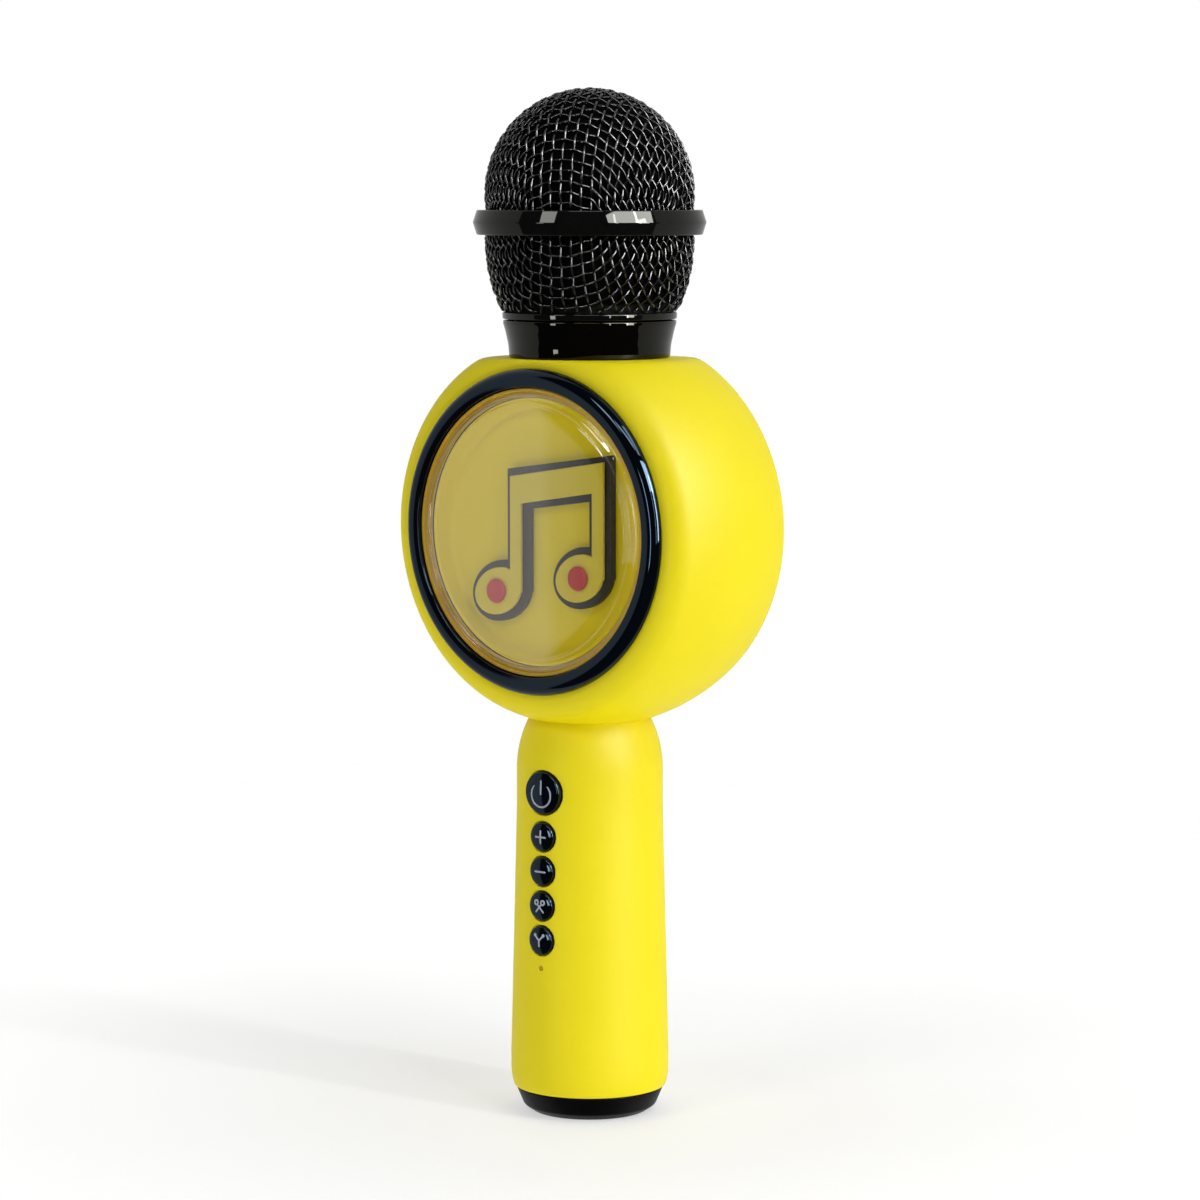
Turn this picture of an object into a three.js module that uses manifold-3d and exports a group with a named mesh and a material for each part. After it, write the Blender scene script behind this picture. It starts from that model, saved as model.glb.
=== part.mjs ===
// Handheld karaoke microphone with a round speaker body, in millimetres.
// +Z runs up the handle to the grille and the display side faces -Y.
// The origin is the centre of the base.
import * as THREE from "three";
import { mergeVertices } from "three/addons/utils/BufferGeometryUtils.js";
import Module from "manifold-3d";

const wasm = await Module();
wasm.setup();

// ---- driving dimensions ----
const GAP = 0.3; // clearance between neighbouring pieces
const FINE = 24; // segments round a large turned part
const MEDIUM = 16;
const SMALL = 12;
const TINY = 8;

const BODY = { z: 143.8, radius: 48.8, half: 21.3, face: 40, edge: 6, wall: 2.4, topZ: 185 };
const BEZEL = { outer: 39.3, inner: 34.8, flat: 37.4, lip: 23.7, shoulder: 21, skirt: 16.5, seat: 32.6 };
const LENS = { radius: 33.5, flat: 30, top: 24.1, edge: 22.7, under: 22.1 };
const HANDLE = {
  top: 17.9,
  taperTop: 76,
  shoulderZ: 84.5,
  shoulder: 28,
  wide: 19.37,
  wideZ: 12,
  wall: 2.2,
  bottom: 6.3,
};
const BASE = { foot: 14, corner: 16, cornerZ: 1.3, rim: 18.15, rimZ: 6, spigot: 16.2, spigotZ: 10.5 };
const COLLAR = {
  bottomZ: 185.3,
  topZ: 194.4,
  bottom: 19.6,
  waist: 19.75,
  top: 21,
  spigot: 18.5,
  spigotZ: 200.2,
  bore: 15.4,
};
const HEAD = { radius: 25.5, centreZ: 224.5, basketZ: 196.2, basket: 21.5, bandZ: 217.6, mesh: 0.9 };
const BAND = { half: 3, edge: 27.3, crease: 28.2, inner: 25.8, groove: 27 };
const BOARD = { front: -8.5, thick: 1.6, width: 14, bottom: 28, top: 93 };
const BUTTON = { proud: 0.75, flange: 0.55, back: -13.4, stem: -10.7 };
const BUTTONS = [
  { name: "power", z: 80.4, radius: 5.2 },
  { name: "volume_up", z: 69.7, radius: 3.5 },
  { name: "volume_down", z: 61.25, radius: 3.5 },
  { name: "echo", z: 52.8, radius: 3.5 },
  { name: "voice", z: 44.35, radius: 3.5 },
];
const STATUS = { z: 37.6, radius: 0.45 };
const CELL = { radius: 9.1, y: 3.2, bottom: 24, length: 65 };
const PORT = { z: 17, width: 8.9, height: 3.2, front: 17.6, back: 10.2 };

// ---- finishes ----
const finish = (color, roughness, metalness = 0, extra = {}) =>
  new THREE.MeshStandardMaterial({ color, roughness, metalness, ...extra });
const FINISH = {
  softYellow: finish(0xf6e21c, 0.62),
  glossBlack: finish(0x14181f, 0.12),
  baseBlack: finish(0x0b0b0d, 0.4),
  wire: finish(0x0c0c0d, 0.35, 0.6),
  blackChrome: finish(0x101010, 0.08, 0.8),
  clear: finish(0xfdfbea, 0.03, 0, { transparent: true, opacity: 0.3 }),
  amber: finish(0xd99a1c, 0.3),
  diffuser: finish(0xe2bf1a, 0.5),
  emblemYellow: finish(0xeed32e, 0.45),
  emblemRed: finish(0xd6202a, 0.4),
  emblemBlack: finish(0x16181b, 0.4),
  foam: finish(0x111112, 0.95),
  rubber: finish(0x1b1b1c, 0.8),
  plasticGrey: finish(0x3a3d42, 0.55),
  board: finish(0x14492c, 0.5),
  steel: finish(0xb9bcc0, 0.3, 0.9),
  cone: finish(0x1d1d20, 0.85),
  magnet: finish(0x5a5d63, 0.45, 0.7),
  copper: finish(0xb4622c, 0.35, 0.8),
  cellBlue: finish(0x2f6fb4, 0.4),
  wireRed: finish(0xb3201c, 0.5),
};

// ---- solids ----
// Turns a profile of [radius, height] points about the vertical axis.
function turned(profile, segments) {
  const points = profile.map(([r, h]) => new THREE.Vector2(r, h));
  return new THREE.LatheGeometry(points, segments).rotateX(Math.PI / 2);
}
// A closed loop profile, for a ring that never touches the axis.
const ring = (profile, segments) => turned([...profile, profile[0]], segments);
// Turns a [radius, depth] profile about the body's front-to-back axis.
// side is -1 for the front and 1 for the rear.
function faced(profile, segments, side) {
  const geometry = profile[0][0] === 0 ? turned(profile, segments) : ring(profile, segments);
  return geometry.rotateX(side < 0 ? Math.PI / 2 : -Math.PI / 2).translate(0, 0, BODY.z);
}
const cylinderZ = (radius, bottom, top, segments) =>
  new THREE.CylinderGeometry(radius, radius, top - bottom, segments)
    .rotateX(Math.PI / 2)
    .translate(0, 0, (top + bottom) / 2);
const cylinderY = (radius, from, to, segments, x = 0, z = 0) =>
  new THREE.CylinderGeometry(radius, radius, to - from, segments).translate(x, (from + to) / 2, z);
const block = (x0, x1, y0, y1, z0, z1) =>
  new THREE.BoxGeometry(x1 - x0, y1 - y0, z1 - z0).translate((x0 + x1) / 2, (y0 + y1) / 2, (z0 + z1) / 2);

// Points of an arc in the profile plane, from angle a to angle b in degrees.
function arc(cr, ch, radius, a, b, steps) {
  return Array.from({ length: steps + 1 }, (_, i) => {
    const t = THREE.MathUtils.degToRad(a + ((b - a) * i) / steps);
    return [cr + radius * Math.cos(t), ch + radius * Math.sin(t)];
  });
}

// Keeps only positions, merges shared vertices and turns the faces outwards.
function closed(geometry) {
  const bare = geometry.index ? geometry.toNonIndexed() : geometry.clone();
  const merged = mergeVertices(
    new THREE.BufferGeometry().setAttribute("position", bare.getAttribute("position")),
    1e-3,
  );
  const p = merged.attributes.position.array;
  const kept = [];
  let volume = 0;
  for (let i = 0; i < merged.index.count; i += 3) {
    const [a, b, c] = merged.index.array.subarray(i, i + 3);
    if (a === b || b === c || a === c) continue;
    kept.push(a, b, c);
    const [u, v, w] = [a, b, c].map((vertex) => new THREE.Vector3().fromArray(p, 3 * vertex));
    volume += u.dot(v.cross(w));
  }
  if (volume < 0) kept.reverse();
  return merged.setIndex(kept);
}
function solid(geometry) {
  const made = closed(geometry);
  return new wasm.Manifold(
    new wasm.Mesh({
      numProp: 3,
      vertProperties: made.attributes.position.array,
      triVerts: new Uint32Array(made.index.array),
    }),
  );
}
function surface(manifold) {
  const mesh = manifold.getMesh();
  return new THREE.BufferGeometry()
    .setAttribute("position", new THREE.BufferAttribute(mesh.vertProperties, 3))
    .setIndex(new THREE.BufferAttribute(mesh.triVerts, 1));
}
const cut = (from, ...tools) => tools.reduce((made, tool) => made.subtract(solid(tool)), from);
const joined = (...pieces) => pieces.map(solid).reduce((made, piece) => made.add(piece));

const product = new THREE.Group();
function piece(name, shape, material) {
  const geometry = shape instanceof THREE.BufferGeometry ? closed(shape) : surface(shape);
  geometry.computeVertexNormals();
  const mesh = new THREE.Mesh(geometry, material);
  mesh.name = name;
  product.add(mesh);
}

// Self-tapping screw along Y: the head lies at y, the shank points the way of dir.
function screw(name, x, y, z, dir, length) {
  const profile = [[0, 0], [1.9, 0], [1.9, 1.4], [1, 1.4], [1, 1.4 + length], [0, 1.4 + length]];
  const geometry = turned(profile, TINY).rotateX(dir > 0 ? -Math.PI / 2 : Math.PI / 2);
  piece(name, geometry.translate(x, y, z), FINISH.steel);
}

// ---- round speaker body ----
// Barrel profile: a crowned side between two edge fillets that end on flat faces.
// shrink insets it all over.
function barrel(shrink, sideSteps, edgeSteps) {
  const edge = BODY.edge - shrink;
  const a = BODY.half - BODY.edge;
  const drop = BODY.face - BODY.radius;
  const crown = (BODY.edge ** 2 - a ** 2 - drop ** 2) / (2 * (drop + BODY.edge));
  const centre = BODY.radius - crown;
  const meet = THREE.MathUtils.radToDeg(Math.atan2(a, BODY.face - centre));
  const half = [
    ...arc(centre, 0, crown - shrink, 0, meet, sideSteps),
    ...arc(BODY.face, a, edge, meet, 90, edgeSteps).slice(1),
    [0, BODY.half - shrink],
  ];
  const mirrored = half.slice(1).map(([r, h]) => [r, -h]).reverse();
  return faced([...mirrored, ...half], FINE, 1);
}
const flatTop = (z) => block(-60, 60, -60, 60, z, z + 80);
{
  const opening = BEZEL.flat - 1.9;
  const hollow = solid(barrel(BODY.wall, 2, 1)).subtract(solid(flatTop(BODY.topZ - BODY.wall)));
  const shell = solid(barrel(0, 4, 3)).subtract(hollow);
  piece(
    "body_shell",
    cut(
      shell,
      flatTop(BODY.topZ),
      cylinderY(opening, -30, 30, FINE, 0, BODY.z),
      cylinderZ(COLLAR.bore, 170, 190, MEDIUM),
      cylinderZ(11.3, 90, 105, MEDIUM),
    ),
    FINISH.softYellow,
  );
}

// Bezel section: rounded outer shoulder, flat lip, lens seat and a skirt that plugs into the body.
function bezelProfile() {
  const { outer, inner, flat, lip, shoulder, skirt, seat } = BEZEL;
  const base = BODY.half + GAP;
  const round = Array.from({ length: 4 }, (_, i) => {
    const t = (Math.PI / 2) * (i / 3);
    return [flat + (outer - flat) * Math.cos(t), base + (lip - base) * Math.sin(t)];
  });
  return [
    ...round,
    [inner, lip - 0.1],
    [inner, shoulder],
    [seat, shoulder],
    [seat, skirt],
    [flat - 2.2, skirt],
    [flat - 2.2, base],
  ];
}
piece("front_bezel", faced(bezelProfile(), FINE, -1), FINISH.glossBlack);
piece("rear_bezel", faced(bezelProfile(), FINE, 1), FINISH.glossBlack);

const lensSeat = BEZEL.shoulder + GAP;
piece(
  "lens",
  faced(
    [
      [0, LENS.under],
      [31, LENS.under],
      [31, lensSeat],
      [LENS.radius, lensSeat],
      [LENS.radius, LENS.edge],
      [32.9, 23.4],
      [31.7, 23.9],
      [LENS.flat, LENS.top],
      [0, LENS.top],
    ],
    FINE,
    -1,
  ),
  FINISH.clear,
);
const sealProfile = [
  [LENS.radius + GAP, lensSeat],
  [BEZEL.inner - GAP, lensSeat],
  [BEZEL.inner - GAP, 22.6],
  [LENS.radius + GAP, 22.6],
];
piece("lens_seal", faced(sealProfile, FINE, -1), FINISH.amber);

const PLATE = {
  top: BEZEL.skirt - GAP,
  thick: 1.6,
  radius: 35,
  wallIn: 31.2,
  wallOut: 32.2,
  wallTop: 20.9,
};
const dishProfile = [
  [0, PLATE.top - PLATE.thick],
  [PLATE.radius, PLATE.top - PLATE.thick],
  [PLATE.radius, PLATE.top],
  [PLATE.wallOut, PLATE.top],
  [PLATE.wallOut, PLATE.wallTop],
  [PLATE.wallIn, PLATE.wallTop],
  [PLATE.wallIn - 0.6, PLATE.top],
  [0, PLATE.top],
];
piece("backdrop_disc", faced(dishProfile, FINE, -1), FINISH.diffuser);

// Emblem: a pair of joined music notes, drawn in X and Z and grown by a margin for its backing.
const NOTE = {
  head: [7.4, 5.6],
  tilt: 20,
  left: [-13, -15],
  right: [12.5, -10.5],
  stem: 3.4,
  leftTop: 13,
  rise: 4.5,
  beam: 7,
};
function notes(margin, back, front) {
  const head = ([x, z]) =>
    new THREE.CylinderGeometry(1, 1, back - front, 36)
      .scale(NOTE.head[0] + margin, 1, NOTE.head[1] + margin)
      .rotateY(THREE.MathUtils.degToRad(-NOTE.tilt))
      .translate(x, (back + front) / 2, BODY.z + z);
  const stemX = ([x]) => x + NOTE.head[0] - NOTE.stem;
  const stem = (at, top) => {
    const left = stemX(at) - margin;
    const right = stemX(at) + NOTE.stem + margin;
    return block(left, right, front, back, BODY.z + at[1], BODY.z + top + margin);
  };
  const rightTop = NOTE.leftTop + NOTE.rise;
  const x0 = stemX(NOTE.left) - margin;
  const x1 = stemX(NOTE.right) + NOTE.stem + margin;
  const beamShape = new THREE.Shape([
    new THREE.Vector2(x0, NOTE.leftTop - NOTE.beam - margin),
    new THREE.Vector2(x1, rightTop - NOTE.beam - margin),
    new THREE.Vector2(x1, rightTop + margin),
    new THREE.Vector2(x0, NOTE.leftTop + margin),
  ]);
  const beam = new THREE.ExtrudeGeometry(beamShape, { depth: back - front, bevelEnabled: false })
    .rotateX(Math.PI / 2)
    .translate(0, back, BODY.z);
  const leftStem = stem(NOTE.left, NOTE.leftTop - 1);
  const rightStem = stem(NOTE.right, rightTop - 1);
  return joined(head(NOTE.left), head(NOTE.right), leftStem, rightStem, beam);
}
piece("emblem_backing", notes(1.7, -16.5, -18.3), FINISH.emblemBlack);
piece("emblem_face", notes(0, -18.6, -19.5), FINISH.emblemYellow);
for (const side of ["left", "right"]) {
  const [x, z] = NOTE[side];
  piece(`emblem_dot_${side}`, cylinderY(3, -20.3, -19.8, SMALL, x, BODY.z + z), FINISH.emblemRed);
}

// ---- light board behind the display ----
const LIGHTS = {
  radius: 30,
  front: -11.1,
  back: -9.5,
  count: 8,
  ring: 19,
  size: 2.5,
  screws: 3,
  screwRing: 26.5,
};
const around = (count, radius, phase = 90) =>
  Array.from({ length: count }, (_, i) => {
    const t = THREE.MathUtils.degToRad(phase + (360 * i) / count);
    return [radius * Math.cos(t), radius * Math.sin(t)];
  });
const lightScrews = around(LIGHTS.screws, LIGHTS.screwRing);
{
  const board = cylinderY(LIGHTS.radius, LIGHTS.front, LIGHTS.back, MEDIUM, 0, BODY.z);
  const lamp = block(
    -LIGHTS.size,
    LIGHTS.size,
    LIGHTS.front - 1.5,
    LIGHTS.front + 0.2,
    BODY.z - LIGHTS.size,
    BODY.z + LIGHTS.size,
  );
  const places = around(LIGHTS.count, LIGHTS.ring, 0);
  const lamps = places.map(([x, z]) => lamp.clone().translate(x, 0, z));
  const holes = lightScrews.map(([x, z]) => cylinderY(1.3, -20, 0, TINY, x, BODY.z + z));
  piece("light_board", cut(joined(board, ...lamps), ...holes), FINISH.board);
  const bosses = lightScrews.map(([x, z]) => cylinderY(3, -9.2, -8, SMALL, x, BODY.z + z));
  const bulkhead = joined(cylinderY(44, -8.5, -6.5, FINE, 0, BODY.z), ...bosses);
  piece(
    "bulkhead",
    cut(bulkhead, flatTop(178), block(-60, 60, -30, 30, 60, 116), ...holes),
    FINISH.plasticGrey,
  );
  const headY = LIGHTS.front - GAP - 1.4;
  lightScrews.forEach(([x, z], i) => screw(`light_screw_${i + 1}`, x, headY, BODY.z + z, 1, 4.4));
}

// ---- speaker and its grille at the rear ----
const SPEAKER = { bolt: 24.4, screws: 4 };
const speakerScrews = around(SPEAKER.screws, SPEAKER.bolt, 45);
const screwHoles = () => speakerScrews.map(([x, z]) => cylinderY(1.3, 10, 20, TINY, x, BODY.z + z));
piece(
  "speaker_baffle",
  cut(
    solid(faced([[23, 14.6], [PLATE.radius, 14.6], [PLATE.radius, PLATE.top], [23, PLATE.top]], FINE, 1)),
    ...screwHoles(),
  ),
  FINISH.plasticGrey,
);
const frameProfile = [
  [22.6, 14.3],
  [22.6, 13.1],
  [20.9, 13.1],
  [14.4, 6.9],
  [7.4, 6.9],
  [7.4, 5.9],
  [15, 5.9],
  [21.8, 12.7],
  [26.3, 12.7],
  [26.3, 14.3],
];
piece("speaker_frame", cut(solid(faced(frameProfile, MEDIUM, 1)), ...screwHoles()), FINISH.steel);
const magnetProfile = [
  [0, 0.8],
  [14, 0.8],
  [14, 5.6],
  [7.1, 5.6],
  [7.1, 2.2],
  [5.6, 2.2],
  [5.6, 7.2],
  [0, 7.2],
];
piece("speaker_magnet", faced(magnetProfile, MEDIUM, 1), FINISH.magnet);
piece("voice_coil", faced([[6.1, 3.3], [6.6, 3.3], [6.6, 9.5], [6.1, 9.5]], MEDIUM, 1), FINISH.copper);
piece("speaker_cone", faced([[6.9, 9.8], [18.2, 13.3], [18.2, 13.8], [6.9, 10.4]], MEDIUM, 1), FINISH.cone);
piece(
  "dust_cap",
  faced([[0, 11.8], [3.5, 11.5], [6.6, 10.3], [6.6, 10.8], [3.5, 12], [0, 12.3]], SMALL, 1),
  FINISH.cone,
);
const surroundProfile = [
  [18.5, 13.4],
  [19.6, 14.3],
  [20.4, 14.6],
  [21.2, 14.3],
  [22.3, 13.4],
  [22.3, 13.9],
  [21.6, 14.9],
  [20.4, 15.3],
  [19.2, 14.9],
  [18.5, 13.9],
];
piece("speaker_surround", faced(surroundProfile, MEDIUM, 1), FINISH.rubber);
speakerScrews.forEach(([x, z], i) => {
  screw(`speaker_screw_${i + 1}`, x, 12.7 - GAP - 1.4, BODY.z + z, -1, 3.4);
});
{
  const rings = [[6, 8.5], [12, 17], [18, 25.5]];
  const holes = [[0, 0], ...rings.flatMap(([count, radius]) => around(count, radius, 0))];
  const plateProfile = [
    [0, 22.4],
    [31, 22.4],
    [31, lensSeat],
    [34.4, lensSeat],
    [34.4, 22.6],
    [33.2, 23.5],
    [31.5, LENS.top],
    [0, LENS.top],
  ];
  const plate = solid(faced(plateProfile, FINE, 1));
  piece(
    "rear_grille",
    cut(plate, ...holes.map(([x, z]) => cylinderY(2, 20, 26, 6, x, BODY.z + z))),
    FINISH.baseBlack,
  );
}

// ---- neck, collar and microphone capsule ----
const ceiling = BODY.topZ - BODY.wall - GAP;
const neckProfile = [
  [11, 179.6],
  [17.6, 179.6],
  [17.6, ceiling],
  [COLLAR.bore - GAP, ceiling],
  [COLLAR.bore - GAP, 203],
  [11, 203],
];
piece("neck_tube", ring(neckProfile, MEDIUM), FINISH.plasticGrey);
piece(
  "collar",
  ring(
    [
      [COLLAR.bore + GAP, COLLAR.bottomZ],
      [COLLAR.bottom, COLLAR.bottomZ],
      [COLLAR.waist, 188.4],
      [20, 190],
      [20.5, 191.6],
      [COLLAR.top, 193.2],
      [COLLAR.top, COLLAR.topZ],
      [COLLAR.spigot, COLLAR.topZ],
      [COLLAR.spigot, COLLAR.spigotZ],
      [COLLAR.bore + GAP, COLLAR.spigotZ],
    ],
    FINE,
  ),
  FINISH.glossBlack,
);
piece(
  "capsule_mount",
  turned([[0, 203.3], [13.2, 203.3], [13.2, 213], [10.9, 213], [10.9, 206], [0, 206]], MEDIUM),
  FINISH.rubber,
);
piece(
  "mic_capsule",
  turned([[0, 206.3], [10.6, 206.3], [10.6, 221], [9.6, 222.2], [0, 222.2]], MEDIUM),
  FINISH.steel,
);

// ---- screw-on grille head ----
// Outer radius of the wire basket below the band, which leans in ever faster towards the collar.
const meshRadius = (z) => {
  const t = THREE.MathUtils.clamp((HEAD.bandZ - z) / (HEAD.bandZ - HEAD.basketZ), 0, 1);
  return HEAD.radius - (HEAD.radius - HEAD.basket) * t ** 2.6;
};
const basketHeights = [HEAD.basketZ, 198.5, 201.5, 205.5, 210.5, 216.4];
const flangeOut = BAND.groove - GAP;
piece(
  "grille_basket",
  ring(
    [
      ...basketHeights.map((z) => [meshRadius(z), z]),
      [flangeOut, 216.4],
      [flangeOut, 217.2],
      [24.6, 217.2],
      ...basketHeights.slice().reverse().map((z) => [meshRadius(z) - HEAD.mesh, z]),
    ],
    FINE,
  ),
  FINISH.wire,
);
piece(
  "grille_dome",
  turned(
    [
      ...arc(0, HEAD.centreZ, HEAD.radius, 90, 0, 8).map(([r, h]) => [Math.max(r, 0), h]),
      [HEAD.radius, 218.8],
      [flangeOut, 218.8],
      [flangeOut, 218],
      [24.6, 218],
      ...arc(0, HEAD.centreZ, HEAD.radius - HEAD.mesh, 0, 90, 8),
    ].map(([r, h]) => [r < 1e-6 ? 0 : r, h]),
    FINE,
  ),
  FINISH.wire,
);
piece(
  "grille_band",
  ring(
    [
      [BAND.inner, HEAD.bandZ - BAND.half],
      [BAND.edge, HEAD.bandZ - BAND.half],
      [BAND.crease, HEAD.bandZ],
      [BAND.edge, HEAD.bandZ + BAND.half],
      [BAND.inner, HEAD.bandZ + BAND.half],
      [BAND.inner, 219.1],
      [BAND.groove, 219.1],
      [BAND.groove, 216.1],
      [BAND.inner, 216.1],
    ],
    FINE,
  ),
  FINISH.blackChrome,
);
piece(
  "grille_thread_ring",
  ring(
    [
      [COLLAR.spigot + GAP, COLLAR.topZ + GAP],
      [21.2, COLLAR.topZ + GAP],
      [21.2, 195.9],
      [20.2, 195.9],
      [20.2, 200],
      [COLLAR.spigot + GAP, 200],
    ],
    FINE,
  ),
  FINISH.blackChrome,
);
{
  const foam = HEAD.radius - HEAD.mesh - 0.5;
  piece(
    "windscreen_foam",
    turned(
      [
        ...arc(0, HEAD.centreZ, foam, 90, 0, 4).map(([r, h]) => [r < 1e-6 ? 0 : r, h]),
        [foam, 218],
        [23.6, 210],
        [22.4, 203.5],
        [20.6, 200.6],
        [18.4, 200.6],
        [19.6, 203.5],
        [20.6, 210],
        ...arc(0, HEAD.centreZ, foam - 3, 0, 90, 4).map(([r, h]) => [r < 1e-6 ? 0 : r, h]),
      ],
      MEDIUM,
    ),
    FINISH.foam,
  );
}

// ---- handle ----
// Outer radius of the handle: straight below the shoulder, then widening towards the base.
const handleRadius = (z) => {
  if (z > HANDLE.shoulderZ)
    return HANDLE.top - HANDLE.shoulder + Math.sqrt(HANDLE.shoulder ** 2 - (z - HANDLE.shoulderZ) ** 2);
  if (z > HANDLE.taperTop) return HANDLE.top;
  const t = (HANDLE.taperTop - z) / (HANDLE.taperTop - HANDLE.wideZ);
  return HANDLE.top + (HANDLE.wide - HANDLE.top) * Math.min(t, 1);
};
{
  const heights = [HANDLE.wideZ, HANDLE.taperTop, HANDLE.shoulderZ, 88.5, 92, 95, 98];
  const lowerEdge = arc(HANDLE.wide - 6, 11, 6, -52, -6, 4).filter(([, h]) => h > HANDLE.bottom);
  const outer = [[BASE.rim, HANDLE.bottom], ...lowerEdge, ...heights.map((z) => [handleRadius(z), z])];
  const inner = [98, 92, 86, HANDLE.wideZ, HANDLE.bottom].map((z) => [
    Math.min(handleRadius(Math.max(z, HANDLE.wideZ)), HANDLE.wide - 0.5) - HANDLE.wall,
    z,
  ]);
  const tube = solid(ring([...outer, ...inner], FINE));
  const buttonHoles = BUTTONS.map(({ radius, z }) => cylinderY(radius + GAP, -30, 0, 16, 0, z));
  const port = block(-PORT.width / 2 - 0.5, PORT.width / 2 + 0.5, 5, 30, PORT.z - 2.1, PORT.z + 2.1);
  piece(
    "handle_shell",
    cut(
      tube,
      barrel(-GAP, 4, 3),
      ...buttonHoles,
      cylinderY(STATUS.radius + GAP, -30, 0, TINY, 0, STATUS.z),
      port,
    ),
    FINISH.softYellow,
  );
}
piece(
  "base_cap",
  turned(
    [
      [0, 1.2],
      [12, 1.2],
      [12, 0],
      [BASE.foot, 0],
      [15.3, 0.4],
      [BASE.corner, BASE.cornerZ],
      [BASE.rim, BASE.rimZ],
      [BASE.spigot, BASE.rimZ],
      [BASE.spigot, BASE.spigotZ],
      [14.2, BASE.spigotZ],
      [14.2, 3.4],
      [0, 3.4],
    ],
    FINE,
  ),
  FINISH.baseBlack,
);
piece("foot_pad", cylinderZ(11.7, 0, 0.9, MEDIUM), FINISH.rubber);
const jointProfile = [[8.5, 93.3], [11, 93.3], [11, 111.6], [8.5, 111.6]];
piece("body_joint_tube", ring(jointProfile, MEDIUM), FINISH.plasticGrey);

// ---- buttons, switches and control board ----
for (const { name, z, radius } of BUTTONS) {
  const front = -(handleRadius(z) + BUTTON.proud);
  const capProfile = [
    [0, BUTTON.stem],
    [1.2, BUTTON.stem],
    [1.2, BUTTON.back],
    [radius + BUTTON.flange, BUTTON.back],
    [radius + BUTTON.flange, BUTTON.back - 0.7],
    [radius, BUTTON.back - 0.7],
    [radius, front + 0.6],
    [radius - 0.7, front],
    [0, front - 0.15],
  ];
  const cap = turned(capProfile, 16).rotateX(-Math.PI / 2);
  piece(`button_${name}`, cap.translate(0, 0, z), FINISH.glossBlack);
  const body = solid(block(-2.6, 2.6, -11.4, BOARD.front - GAP, z - 2.6, z + 2.6));
  piece(`switch_${name}`, cut(body, cylinderY(1.5, -12, -9.6, 12, 0, z)), FINISH.steel);
}
const halfBoard = BOARD.width / 2;
piece(
  "control_board",
  joined(
    block(-halfBoard, halfBoard, BOARD.front, BOARD.front + BOARD.thick, BOARD.bottom, BOARD.top),
    block(-3.5, 3.5, BOARD.front - 1, BOARD.front + 0.2, 29, 35),
    block(-5.5, 5.5, BOARD.front + 0.2, -3.6, 90.4, BOARD.top - 0.5),
  ),
  FINISH.board,
);
{
  const front = -handleRadius(STATUS.z);
  const profile = [
    [0, -9.2],
    [1.6, -9.2],
    [1.6, -10.6],
    [STATUS.radius, -10.6],
    [STATUS.radius, front],
    [0, front],
  ];
  const pipe = turned(profile, TINY).rotateX(-Math.PI / 2);
  piece("status_light_pipe", pipe.translate(0, 0, STATUS.z), FINISH.amber);
}

// ---- battery and charging port ----
piece(
  "battery_cell",
  turned(
    [
      [0, CELL.bottom],
      [CELL.radius - 0.5, CELL.bottom],
      [CELL.radius, CELL.bottom + 0.5],
      [CELL.radius, CELL.bottom + CELL.length - 1.6],
      [CELL.radius - 0.6, CELL.bottom + CELL.length - 1],
      [3, CELL.bottom + CELL.length - 1],
      [3, CELL.bottom + CELL.length],
      [0, CELL.bottom + CELL.length],
    ],
    FINE,
  ).translate(0, CELL.y, 0),
  FINISH.cellBlue,
);
{
  const inner = CELL.radius + GAP;
  const outer = CELL.radius + 1.7;
  const sleeve = ring([[inner, 22], [outer, 22], [outer, 86], [inner, 86]], FINE);
  const frontHalf = block(-30, 30, -30, CELL.y, 0, 120);
  piece("battery_cradle", cut(solid(sleeve.translate(0, CELL.y, 0)), frontHalf), FINISH.plasticGrey);
}
{
  const { width, height, front, back, z } = PORT;
  const shell = solid(block(-width / 2, width / 2, back, front, z - height / 2, z + height / 2));
  const wide = width / 2 - 0.4;
  const high = height / 2 - 0.4;
  const mouth = block(-wide, wide, back + 1, front + 1, z - high, z + high);
  const tongue = block(-2.9, 2.9, back + 0.5, front - 1.2, z - 0.35, z + 0.35);
  piece("charge_port", cut(shell, mouth).add(solid(tongue)), FINISH.steel);
  const boardTop = z - height / 2 - GAP;
  piece("port_board", block(-6, 6, 3, 14.2, boardTop - 1.6, boardTop), FINISH.board);
}

// ---- wiring ----
// A lead along a smooth path through hand-placed points.
function lead(name, points, material) {
  const section = new THREE.Shape();
  section.absarc(0, 0, 0.7, 0, 2 * Math.PI, false);
  const path = new THREE.CatmullRomCurve3(points.map((p) => new THREE.Vector3(...p)));
  const sweep = { extrudePath: path, steps: 12, curveSegments: 3, bevelEnabled: false };
  piece(name, new THREE.ExtrudeGeometry(section, sweep), material);
}
const plugZ = BOARD.top;
const micPath = [
  [0, 0, 203],
  [0, -1, 196],
  [-2, -3, 176],
  [-3, -3, 145],
  [-3.5, -3.2, 116],
  [-3, -4.6, 100],
  [-3, -5, plugZ],
];
const speakerPath = [
  [0, 11.6, 120.8],
  [0, 9.5, 117.4],
  [0, 4, 114],
  [0, -2.4, 109],
  [0, -4.6, 100],
  [0, -5, plugZ],
];
const lightPath = [
  [3, -10.3, 113],
  [3, -8.6, 113.2],
  [3, -6.4, 112],
  [3, -5.2, 107],
  [3, -4.8, 100],
  [3, -5, plugZ],
];
lead("mic_lead", micPath, FINISH.rubber);
lead("speaker_lead", speakerPath, FINISH.wireRed);
lead("light_lead", lightPath, FINISH.wireRed);

export default product;
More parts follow.
